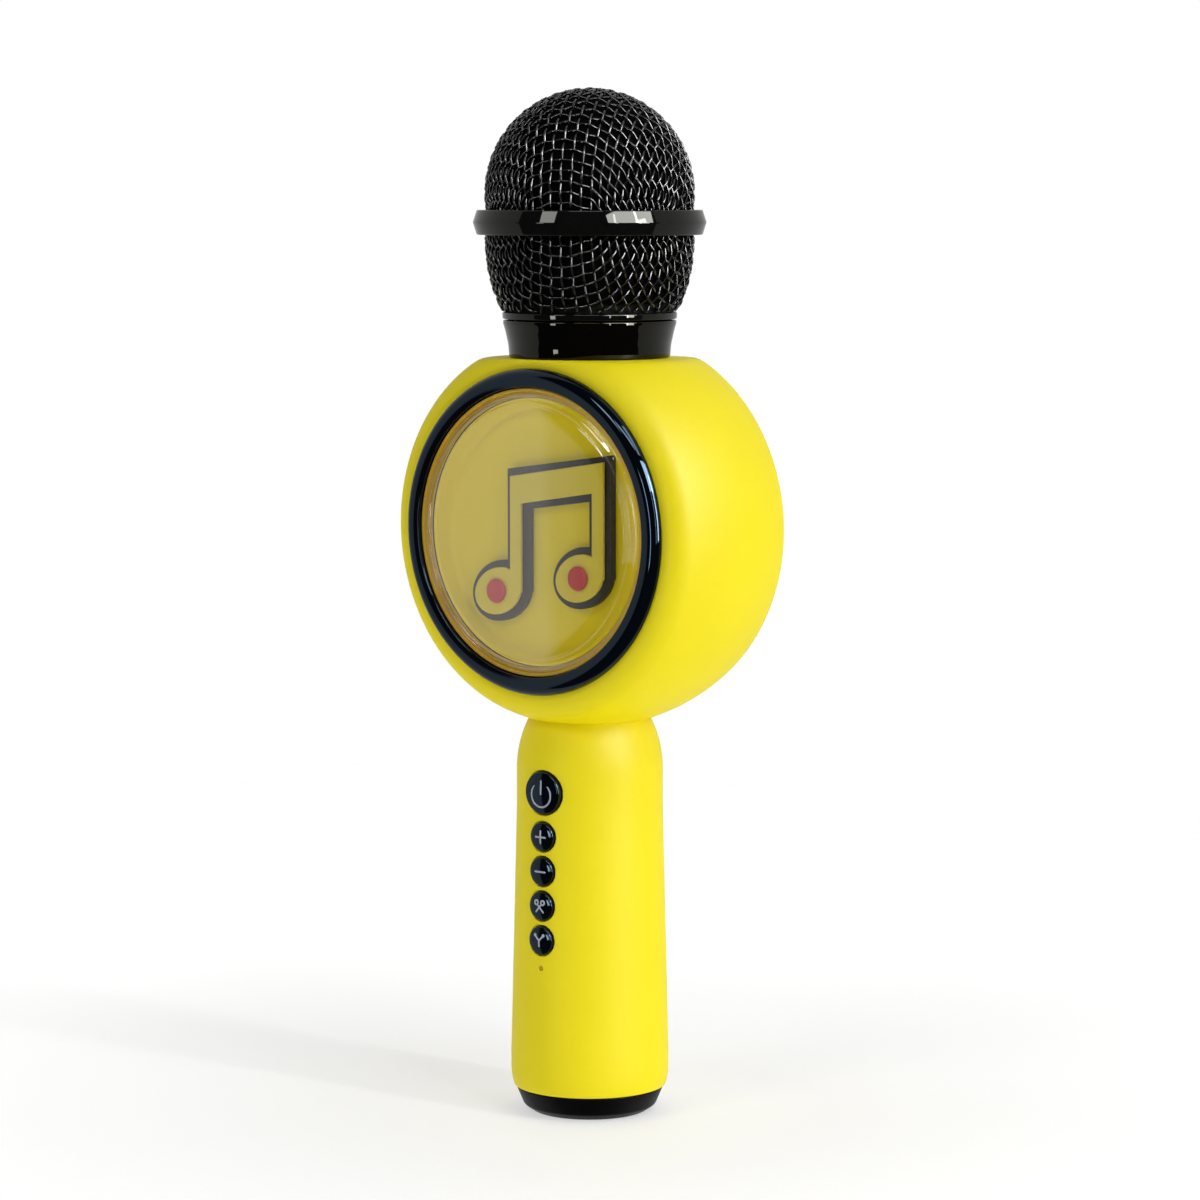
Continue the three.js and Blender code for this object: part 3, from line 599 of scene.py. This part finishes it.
def makeLens():
    # Three rounded outlines turned round the front-to-back axis: the cover with a groove near its rim,
    # the seal that holds it and the dish behind it.
    corners = [(0, lens["top"], 0), (lens["flat"], lens["top"] - 0.03, 0.5), (30.7, 23.6, 0.5),
               (31.2, 23.85, 0.4), (31.9, 23.8, 0.9), (32.6, 23.15, 0.5), (33.1, 23.1, 0.5),
               (lens["radius"], lens["edge"] - 0.3, 0.3), (lens["radius"], lens["foot"], 0.1),
               (31.6, lens["foot"], 0.2), (31.2, lens["under"], 0.3), (0, lens["under"], 0)]
    start = np.linspace(0, lens["flat"] - 0.8, 12)[:, None]
    profile = np.concatenate([np.hstack([start, 0 * start + lens["top"]]), rounded(corners, 8)[1:]])
    domePiece("lensCover", turnedY(profile, 200), lensClear, "housing", "clear_lens", ["lens"])
    profile = rounded([(seal["inner"], seal["back"], 0.05), (seal["outer"], seal["back"], 0.05),
                       (seal["outer"], seal["front"], 0.2), (seal["lipInner"], seal["front"], 0.2),
                       (seal["lipInner"], seal["floor"], 0.1), (seal["inner"], seal["floor"], 0.05)])
    ringPiece("lensSeal", turnedY(profile, 200), made["amberSeal"], "housing", "amber", ["lens_seal"])
    profile = rounded([(0, dish["front"], 0), (dish["flat"], dish["front"], 1.5),
                       (dish["wallIn"], dish["wallTop"], 0.1), (dish["wallOut"], dish["wallTop"], 0.1),
                       (dish["wallOut"], dish["front"], 0.1), (dish["rim"], dish["front"], 0.2),
                       (dish["rim"], dish["back"], 0.2), (0, dish["back"], 0)])
    grid = turnedY(profile, 160)
    domePiece("backdropDish", grid, made["mustardPaintedGlow"], "housing", "backdrop", ["backdrop_disc"])


makeLens()


def softenedCopy(node, name, material, width):
    # A CAD node with its doubles merged, its flat faces made whole and its edges rounded over.
    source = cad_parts[node]
    shape = bmesh.new()
    shape.from_mesh(source.data)
    bmesh.ops.remove_doubles(shape, verts=shape.verts, dist=1e-6)
    bmesh.ops.dissolve_limit(shape, angle_limit=math.radians(3), verts=shape.verts, edges=shape.edges)
    mesh = bpy.data.meshes.new(name)
    shape.to_mesh(mesh)
    shape.free()
    mesh.materials.append(material)
    piece = bpy.data.objects.new(name, mesh)
    bpy.context.scene.collection.objects.link(piece)
    bevel = piece.modifiers.new("roundOver", "BEVEL")
    bevel.width = width / metre
    bevel.segments = 3
    bevel.limit_method = "ANGLE"
    bevel.angle_limit = math.radians(40)
    mesh.shade_smooth()
    mesh.set_sharp_from_angle(angle=math.radians(35))
    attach(piece, "housing")
    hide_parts(node)


softenedCopy("emblem_backing", "emblemBacking", made["emblemBlack"], 0.25)
softenedCopy("emblem_face", "emblemFace", made["emblemYellow"], 0.18)
for name, node in (("emblemDotLeft", "emblem_dot_left"), ("emblemDotRight", "emblem_dot_right")):
    dot = nodeCentre(node)
    low, high = nodeBox(node)
    crest = rounded([(0, -low[1] + 0.12, 0), (2.4, -low[1], 1.5), (2.95, -low[1] - 0.25, 0.15),
                     (2.95, -high[1], 0.05), (0, -high[1], 0)], 5)
    grid = turnedY(crest, 64, x=dot[0], z=dot[2])
    domePiece(name, grid, made["emblemRed"], "housing", "emblem_red", [node])
print("bezels, lens and display made")

cap = dict(crown=0.42, round=0.42, skirt=2.6, flangeTop=14.1, flangeBack=13.4, stem=1.2)
icon = dict(width=0.46, proud=0.05, sides=8)


def capDrop(r, radius):
    # Depth of a cap's top below its highest point, at distance r from its middle: a shallow dome
    # with a faint ring where the middle begins.
    return cap["crown"] * (r / radius) ** 2 - 0.05 * np.exp(-((r / radius - 0.72) / 0.08) ** 2)


def iconPaths(node):
    # The centre lines of a button's sign, in millimetres right of and above its middle.
    t = np.linspace(0, 1, 40)[:, None]

    def line(start, end):
        return np.array(start) * (1 - t) + np.array(end) * t

    def loop(middle, radius, start, end):
        turn = np.radians(start + (end - start) * t)
        return np.array(middle) + radius * np.hstack([np.cos(turn), np.sin(turn)])

    signs = {
        "button_power": [line((0, 3.2), (0, -0.5)), loop((0, -0.45), 2.95, 128, 412)],
        "button_volume_up": [line((-1.75, 0), (1.75, 0)), line((0, -1.75), (0, 1.75))],
        "button_volume_down": [line((-1.75, 0), (1.75, 0))],
        "button_echo": [line((0.55, 0.45), (-1.25, -1.55)), line((-0.55, 0.45), (1.25, -1.55)),
                        loop((-0.95, 0.95), 0.52, 0, 360), loop((0.95, 0.95), 0.52, 0, 360)],
        "button_voice": [line((0, -1.5), (0, 0.1)), line((0, 0.1), (-1.05, 1.15)),
                         line((0, 0.1), (1.05, 1.15)), loop((-1.25, 1.4), 0.2, 0, 360),
                         loop((1.25, 1.4), 0.2, 0, 360)],
    }
    return signs[node]


def makeButton(node):
    # The cap is a domed outline turned round its own axis. The sign is a set of flat round-ended
    # strokes: an oval cross-section carried along each line, on the dome.
    low, high = nodeBox(node)
    z = (low[2] + high[2]) / 2
    radius = (high[2] - low[2]) / 2 - holes["flange"]
    front = -low[1]
    flat = radius - cap["round"]
    r = np.linspace(0, flat, 22)
    top = np.stack([r, front - capDrop(r, radius)], -1)
    edge = arcPoints((flat, top[-1, 1] - cap["round"]), cap["round"], 90, 0, 7)[1:]
    flange = radius + holes["flange"]
    side = np.array([[radius, front - cap["skirt"]], [radius, cap["flangeTop"]],
                     [flange, cap["flangeTop"]], [flange, cap["flangeBack"]],
                     [cap["stem"], cap["flangeBack"]], [cap["stem"], -high[1]], [0, -high[1]]])
    profile = np.concatenate([top, edge, side])
    domePiece(node + "Cap", turnedY(profile, 72, z=z), made["navyGloss"], node, "gloss_black", [node])
    strokes = []
    spin = np.linspace(0, 2 * np.pi, icon["sides"], endpoint=False)
    for path in iconPaths(node):
        along = np.gradient(path, axis=0)
        along /= np.linalg.norm(along, axis=1, keepdims=True)
        across = np.stack([-along[:, 1], along[:, 0]], -1)
        grow = np.ones(len(path))
        if np.linalg.norm(path[0] - path[-1]) > 1e-6:
            end = np.minimum(np.arange(len(path)), np.arange(len(path))[::-1]) / 4
            grow = np.sqrt(1 - (1 - np.clip(end, 0, 1)) ** 2)
        reach = icon["width"] / 2 * grow[:, None] * np.cos(spin)
        spot = path[:, None] + across[:, None] * reach[..., None]
        away = np.hypot(spot[..., 0], spot[..., 1])
        depth = front - capDrop(away, radius) + icon["proud"] * np.sin(spin)
        strokes.append((np.stack([spot[..., 0], -depth, z + spot[..., 1]], -1),
                        gridFaces(len(path), icon["sides"])))
    points, faces = gather(*strokes)
    linkPiece(node + "Sign", points, faces, made["iconSilver"], node, "steel", sharp=80)


for node in buttonNodes:
    makeButton(node)
print("buttons made")

thread = dict(pitch=2.0, root=18.1, height=0.42, fade=0.6, bore=17.4)


def makeCollar():
    # A rounded outline turned round the axis, and a threaded spigot above it.
    low, high = nodeBox("collar")
    z = low[2] - 0.3
    corners = [(15.7, z, 0.1), (19.5, z, 0.5), (19.75, z + 3.2, 12), (20.5, z + 6.6, 14),
               (21.0, z + 8.3, 1.2), (21.0, z + 9.1, 0.35), (18.2, z + 9.3, 0.2),
               (18.2, high[2] - 0.1, 0.3), (15.7, high[2], 0.3)]
    grid = turnedZ(rounded(corners, 10), 200)
    ringPiece("collarRing", grid, made["pianoBlack"], "housing", "gloss_black", ["collar"])
    # The thread is a ridge whose crest climbs one pitch each turn.
    a = np.linspace(0, 2 * np.pi, 160, endpoint=False)[None]
    h = np.linspace(z + 9.6, high[2] - 0.4, 64)[:, None]
    phase = ((h - z) / thread["pitch"] - a / (2 * np.pi)) % 1
    ridge = 1 - np.abs(2 * phase - 1)
    fade = smoothStep((h - h[0]) / thread["fade"]) * smoothStep((h[-1] - h) / thread["fade"])
    r = thread["root"] + thread["height"] * ridge * fade
    outer = np.stack([r * np.cos(a), r * np.sin(a), h + 0 * a], -1)
    bore = thread["bore"] + 0 * h
    inner = np.stack([bore * np.cos(a), bore * np.sin(a), h + 0 * a], -1)[::-1]
    grid = np.concatenate([outer, inner])
    ringPiece("collarThread", grid, made["pianoBlack"], "housing", "gloss_black")


band = dict(inner=25.6, edge=27.3, ridge=28.25, half=3)
sleeve = dict(inner=18.8, outer=20.25)


def makeGrilleRings():
    # Rounded outlines turned round the axis: the band, the bright ring at the foot and a dull sleeve.
    middle = nodeCentre("grille_band")[2]
    below, above = middle - band["half"], middle + band["half"]
    profile = rounded([(band["inner"], below, 0.2), (band["edge"], below, 0.4),
                       (band["ridge"], middle, 0.45), (band["edge"], above, 0.4),
                       (band["inner"], above, 0.2)], 6)
    grid = turnedZ(profile, 256)
    ringPiece("grilleBand", grid, made["bandBlack"], "grille", "band_black", ["grille_band"])
    low, high = nodeBox("grille_thread_ring")
    foot = nodeBox("collar")[0][2] + 9.1
    profile = rounded([(20.3, foot, 0.1), (21.1, foot, 0.3), (21.2, low[2] + 1.3, 0.5),
                       (20.3, low[2] + 1.5, 0.2)], 6)
    grid = turnedZ(profile, 220)
    ringPiece("grilleRing", grid, made["bandBlack"], "grille", "band_black", ["grille_thread_ring"])
    profile = rounded([(sleeve["inner"], low[2], 0.1), (sleeve["outer"], low[2], 0.1),
                       (sleeve["outer"], high[2], 0.3), (sleeve["inner"], high[2], 0.3)], 4)
    ringPiece("grilleSleeve", turnedZ(profile, 120), made["sleeveBlack"], "grille", "band_black")


makeCollar()
makeGrilleRings()
print("collar, band and rings made")

weave = dict(pitch=2.66, wire=0.30, lift=0.30, samples=6, sides=6, knots=18, lead=23.2, tightest=0.78,
             settle=160, pull=0.22, shove=0.2, wander=0.035)
headTop = nodeBox("grille_dome")[1][2]
headRadius = nodeBox("grille_dome")[1][0] - 1.2
headCentreZ = headTop - headRadius


def fishNet(ballRadius, seed):
    # A net of equal threads on a unit ball, laid from the pole. Two threads cross at the pole along
    # great circles. Each further knot is the one diagonally behind it, mirrored in the plane through
    # its two nearer neighbours and the ball's centre. The net then settles: each thread pulls towards
    # the pitch while crossings that shear too far push apart.
    n = weave["knots"]
    step = weave["pitch"] / ballRadius
    arc = np.arange(n) * step
    net = np.zeros((n, n, 3))
    net[:, 0] = np.stack([np.sin(arc), 0 * arc, np.cos(arc)], -1)
    net[0, :] = np.stack([0 * arc, np.sin(arc), np.cos(arc)], -1)
    for diagonal in range(2, 2 * n - 1):
        i = np.arange(max(1, diagonal - n + 1), min(diagonal, n))
        j = diagonal - i
        normal = np.cross(net[i - 1, j], net[i, j - 1])
        normal /= np.maximum(np.linalg.norm(normal, axis=1, keepdims=True), 1e-9)
        behind = net[i - 1, j - 1]
        net[i, j] = behind - 2 * np.sum(behind * normal, 1, keepdims=True) * normal
    full = np.zeros((2 * n - 1, 2 * n - 1, 3))
    k = np.arange(-(n - 1), n)
    full[:] = net[np.abs(k)[:, None], np.abs(k)[None]]
    full[..., 0] *= np.sign(k)[:, None]
    full[..., 1] *= np.sign(k)[None]
    reach = np.abs(k)[:, None] + np.abs(k)[None]
    live = (reach <= 25).astype(float)
    late, early, whole = slice(1, None), slice(None, -1), slice(None)
    straight = (((late, whole), (early, whole)), ((whole, late), (whole, early)))
    slanted = (((late, late), (early, early)), ((late, early), (early, late)))

    def span(after, before):
        gap = full[after] - full[before]
        return gap, np.maximum(np.linalg.norm(gap, axis=-1, keepdims=True), 1e-9)

    for turn in range(weave["settle"]):
        push = np.zeros_like(full)
        for after, before in straight:
            gap, length = span(after, before)
            pair = live[after] * live[before]
            pull = gap * (1 - step / length) * weave["pull"] * pair[..., None]
            push[before] += pull
            push[after] -= pull
        for after, before in slanted:
            gap, length = span(after, before)
            shove = gap * np.clip(weave["tightest"] * step / length - 1, 0, 1) * weave["shove"]
            push[after] += shove
            push[before] -= shove
        full = full + push * live[..., None]
        full /= np.linalg.norm(full, axis=-1, keepdims=True)
    chance = np.random.default_rng(seed)
    full += chance.normal(0, weave["wander"] / ballRadius, full.shape)
    full /= np.linalg.norm(full, axis=-1, keepdims=True)
    t = math.radians(weave["lead"] - 90)
    turned = np.stack([full[..., 0] * math.cos(t) - full[..., 1] * math.sin(t),
                       full[..., 0] * math.sin(t) + full[..., 1] * math.cos(t), full[..., 2]], -1)
    return turned, reach


def wovenWires(name, net, reach, place, inside, body, replaced):
    # Threads of the net as round wires that pass over and under each other: each wire's height over
    # the surface is a cosine that changes sign at every crossing, opposite for the two directions.
    grids = []
    samples = weave["samples"]
    for axis in (0, 1):
        knots = net if axis == 1 else net.transpose(1, 0, 2)
        near = reach if axis == 1 else reach.T
        lines, count = knots.shape[:2]
        before = 2 * knots[:, :1] - knots[:, 1:2]
        after = 2 * knots[:, -1:] - knots[:, -2:-1]
        padded = np.concatenate([before, knots, after], 1)
        t = (np.arange(samples) / samples)[None, None, :, None]
        p0, p1, p2, p3 = (padded[:, s:s + count - 1, None] for s in range(4))
        curve = 0.5 * (2 * p1 + (p2 - p0) * t + (2 * p0 - 5 * p1 + 4 * p2 - p3) * t ** 2
                       + (3 * p1 - p0 - 3 * p2 + p3) * t ** 3)
        curve = curve.reshape(lines, -1, 3)
        curve /= np.linalg.norm(curve, axis=-1, keepdims=True)
        middle, normal, height = place(curve)
        near = np.repeat(np.maximum(near[:, 1:], near[:, :-1]), samples, 1)
        keep = inside(height) & (near <= 24)
        order = np.arange(lines)[:, None] + np.arange(curve.shape[1])[None] / samples
        crimp = weave["lift"] * np.cos(np.pi * order) * (1 if axis else -1)
        middle = middle + normal * crimp[..., None]
        along = np.gradient(middle, axis=1)
        along /= np.maximum(np.linalg.norm(along, axis=-1, keepdims=True), 1e-9)
        across = np.cross(along, normal)
        across /= np.maximum(np.linalg.norm(across, axis=-1, keepdims=True), 1e-9)
        up = np.cross(across, along)
        spin = np.linspace(0, 2 * np.pi, weave["sides"], endpoint=False)
        thick = (weave["wire"] * keep)[..., None, None]
        ring = middle[:, :, None] + thick * (up[:, :, None] * np.cos(spin)[:, None]
                                             + across[:, :, None] * np.sin(spin)[:, None])
        rings = ring.shape[1]
        faces = gridFaces(rings, weave["sides"]).reshape(rings - 1, weave["sides"], 4)
        wanted = keep[:, :-1] | keep[:, 1:]
        starts = (np.arange(lines) * rings * weave["sides"])[:, None, None, None]
        grids.append((ring.reshape(-1, 3), (faces[None] + starts)[wanted].reshape(-1, 4)))
    points, faces = gather(*grids)
    piece = linkPiece(name, points, faces, made["wireBlack"], body, "mesh_black", replaced, sharp=180)
    print(name, len(piece.data.polygons), "faces")


def onDome(unit):
    # The ball itself: the unit direction times the ball's radius.
    radius = headRadius - weave["wire"] - weave["lift"]
    return unit * radius + (0, 0, headCentreZ), unit, unit[..., 2] * radius + headCentreZ


basket = dict(top=nodeCentre("grille_band")[2] - 1.0, bottom=nodeBox("grille_basket")[0][2] + 0.2,
              lean=2.6, draw=4.0)
foamGap = 0.25


def basketRadius(z):
    # Outer radius of the lower basket: it draws in towards the collar ever faster.
    t = np.clip((basket["top"] - z) / (basket["top"] - basket["bottom"]), -0.3, 1.2)
    return headRadius - basket["draw"] * np.sign(t) * np.abs(t) ** basket["lean"]


def onBasket(unit):
    # The net's pole is below: the angle up from the pole becomes an arc length down from the band.
    z = np.linspace(basket["top"] + 4, basket["bottom"] - 4, 200)
    r = basketRadius(z) - weave["wire"] - weave["lift"]
    slope = np.gradient(r) / np.gradient(z)
    arc = np.concatenate([[0], np.cumsum(np.hypot(np.diff(r), np.diff(z)))]) - 4
    down = headRadius * (np.pi / 2 - np.arccos(np.clip(unit[..., 2], -1, 1)))
    height = np.interp(down, arc, z)
    radius = np.interp(down, arc, r)
    tilt = np.interp(down, arc, slope)
    flat = np.maximum(np.hypot(unit[..., 0], unit[..., 1]), 1e-6)
    outward = unit[..., :2] / flat[..., None]
    middle = np.concatenate([outward * radius[..., None], height[..., None]], -1)
    normal = np.concatenate([outward, -tilt[..., None]], -1)
    normal /= np.linalg.norm(normal, axis=-1, keepdims=True)
    height = np.where(down > arc[-1] - 0.1, 0, height)  # past the foot
    height = np.where(down < -3.5, basket["top"] + 9, height)  # past the band
    return middle, normal, height


def makeHead():
    # Two woven nets, and a foam shell inside them that follows the same ball and basket.
    net, reach = fishNet(headRadius, 5)
    bandZ = nodeCentre("grille_band")[2]
    wovenWires("domeWires", net, reach, onDome, lambda h: h > bandZ + 0.8, "grille", ["grille_dome"])
    net, reach = fishNet(headRadius * 1.04, 8)
    wovenWires("basketWires", net, reach, onBasket,
               lambda h: (h < bandZ - 0.4) & (h > basket["bottom"]), "grille", ["grille_basket"])
    inset = 2 * (weave["wire"] + weave["lift"]) + foamGap
    crest = arcPoints((0, headCentreZ), headRadius - inset, 90, -6, 40)
    z = np.linspace(headCentreZ - 5, basket["bottom"] + 2.3, 30)
    skirt = np.stack([basketRadius(z) - inset, z], -1)
    skirt[:, 0] = np.minimum(skirt[:, 0], crest[-1, 0])
    back = arcPoints((0, headCentreZ), headRadius - inset - 3, -6, 90, 20)
    tuck = np.array([[skirt[-1, 0] - 0.4, z[-1] - 0.3], [20.45, z[-1]], [20.45, z[-1] + 1.8],
                     [18.7, z[-1] + 2.6]])
    profile = np.concatenate([crest, skirt[1:], tuck, back])
    profile[0, 0] = profile[-1, 0] = 0
    foam = domePiece("windscreenFoam", turnedZ(profile, 140), made["foamBlack"], "windscreen", "foam",
                     ["windscreen_foam"])


makeHead()
print("head made")

perforated = dict(pitch=2.5, hole=0.78, plate=22.6, rim=29.4, crown=0.9, thick=0.8, count=14, sides=12)


def makeRearGrille():
    # Six-sided tiles on a triangular lattice, each with a round hole, on a plate whose depth falls
    # with the square of the distance from its middle.
    p = perforated
    steps = np.arange(-p["count"], p["count"] + 1)
    i, j = np.meshgrid(steps, steps, indexing="ij")
    x = (i + j / 2) * p["pitch"]
    z = j * p["pitch"] * math.sqrt(3) / 2
    near = np.hypot(x, z) < p["rim"] + 0.6
    centres = np.stack([x[near], z[near]], -1)
    sides = p["sides"]
    a = np.linspace(0, 2 * np.pi, sides, endpoint=False) + np.pi / 6
    hexagon = p["pitch"] / 2 / np.cos(a % (np.pi / 3) - np.pi / 6)
    rings = []
    for radius, depth in ((hexagon, 0.0), (p["hole"] + 0.12 + 0 * a, 0.0), (p["hole"] + 0 * a, 0.12),
                          (p["hole"] + 0 * a, p["thick"]), (hexagon, p["thick"])):
        x = centres[:, 0, None] + radius * np.cos(a)
        z = centres[:, 1, None] + radius * np.sin(a)
        y = p["plate"] + p["crown"] * (1 - (x ** 2 + z ** 2) / p["rim"] ** 2) - depth
        rings.append(np.stack([x, y, bodyZ + z], -1))
    grid = np.stack(rings, 1)
    tile = gridFaces(5, sides)
    faces = (tile[None] + (np.arange(len(centres)) * 5 * sides)[:, None, None]).reshape(-1, 4)
    linkPiece("speakerMesh", grid, faces, made["baseBlack"], "housing", "base_black", ["rear_grille"])
    rim = rounded([(p["rim"] - 0.9, 22.2, 0.2), (p["rim"] - 0.6, 23.6, 0.5),
                   (p["rim"] + 1.6, 24.05, 0.9), (33.0, 23.5, 0.8), (34.4, 22.6, 0.3),
                   (34.4, 21.4, 0.1)], 6)
    ringPiece("speakerRim", turnedY(rim, 200, side=1), made["baseBlack"], "housing", "base_black")


makeRearGrille()

port = dict(wall=0.35, lipWide=0.42, lipHigh=0.25, lipOut=0.1, lipSunk=0.1)


def stadium(halfWidth, halfHeight, steps=12):
    # A slot outline: two half circles joined by straight sides.
    a = np.linspace(-np.pi / 2, np.pi / 2, steps)
    cap = np.stack([halfWidth - halfHeight + halfHeight * np.cos(a), halfHeight * np.sin(a)], -1)
    return np.concatenate([cap, -cap])


def makePort():
    # Slot outlines of changing size set one behind the other: a cup for the shell, a bar for the tongue.
    low, high = nodeBox("charge_port")
    halfWidth, halfHeight = (high[0] - low[0]) / 2, (high[2] - low[2]) / 2
    z = (low[2] + high[2]) / 2
    sections = [(0.0, low[1]), (0.0, high[1] - 0.12), (0.12, high[1]), (port["wall"], high[1] - 0.05),
                (port["wall"], low[1] + 1.0)]
    rows = []
    for inset, y in [(halfHeight - 0.02, low[1])] + sections + [(halfHeight - 0.02, low[1] + 1.0)]:
        outline = stadium(halfWidth - inset, halfHeight - inset)
        rows.append(np.stack([outline[:, 0], y + 0 * outline[:, 0], z + outline[:, 1]], -1))
    domePiece("chargeShell", np.stack(rows), made["plated"], "housing", "steel", ["charge_port"])
    rows = []
    for inset, y in ((0.33, low[1] + 1.2), (0, low[1] + 1.2), (0, high[1] - 1.3), (0.1, high[1] - 1.2),
                     (0.33, high[1] - 1.2)):
        outline = stadium(3.0 - inset, 0.35 - inset)
        rows.append(np.stack([outline[:, 0], y + 0 * outline[:, 0], z + outline[:, 1]], -1))
    domePiece("chargeTongue", np.stack(rows), made["baseBlack"], "housing", "base_black")


makePort()


def makePortLip():
    # A soft raised lip round the slot: an oval cross-section carried along the slot's outline, where the
    # outline lies on the handle at y = square root of radius squared minus x squared.
    a = np.linspace(-np.pi / 2, np.pi / 2, 24)
    outward = np.stack([np.cos(a), np.sin(a)], -1)
    outward = np.concatenate([outward, -outward])[:, None]
    outline = stadium(portSlot["halfWidth"], portSlot["halfHeight"], len(a))[:, None]
    spin = np.linspace(0, 2 * np.pi, 12, endpoint=False)[None, :, None]
    flat = outline + outward * (port["lipOut"] + port["lipWide"] * np.cos(spin))
    x, z = flat[..., 0], flat[..., 1] + nodeCentre("charge_port")[2]
    y = np.sqrt(handleRadius(z) ** 2 - x ** 2) - port["lipSunk"] + port["lipHigh"] * np.sin(spin[..., 0])
    grid = np.stack([x, y, z], -1)
    ringPiece("portLip", grid, made["softYellow"], "housing", "shell_yellow", sharp=180)


makePortLip()
print("rear grille and port made")

# The pieces inside keep their CAD shape, and each gets a finish.
inside = {
    "light_board": "board", "control_board": "board", "port_board": "board", "bulkhead": "innerPlastic",
    "speaker_baffle": "innerPlastic", "neck_tube": "innerPlastic", "body_joint_tube": "innerPlastic",
    "battery_cradle": "innerPlastic", "speaker_frame": "plated", "speaker_magnet": "magnetIron",
    "voice_coil": "copper", "speaker_cone": "conePaper", "dust_cap": "conePaper",
    "speaker_surround": "rubber", "capsule_mount": "rubber", "mic_capsule": "plated",
    "battery_cell": "cellWrap", "mic_lead": "rubber", "speaker_lead": "leadRed", "light_lead": "leadRed",
    "status_light_pipe": "amberSeal",
}
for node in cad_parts:
    if node.startswith(("light_screw", "speaker_screw", "switch_")):
        inside[node] = "plated"
for node, name in inside.items():
    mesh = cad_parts[node].data
    mesh.materials.clear()
    mesh.materials.append(made[name])
print(len(inside), "inner pieces dressed")
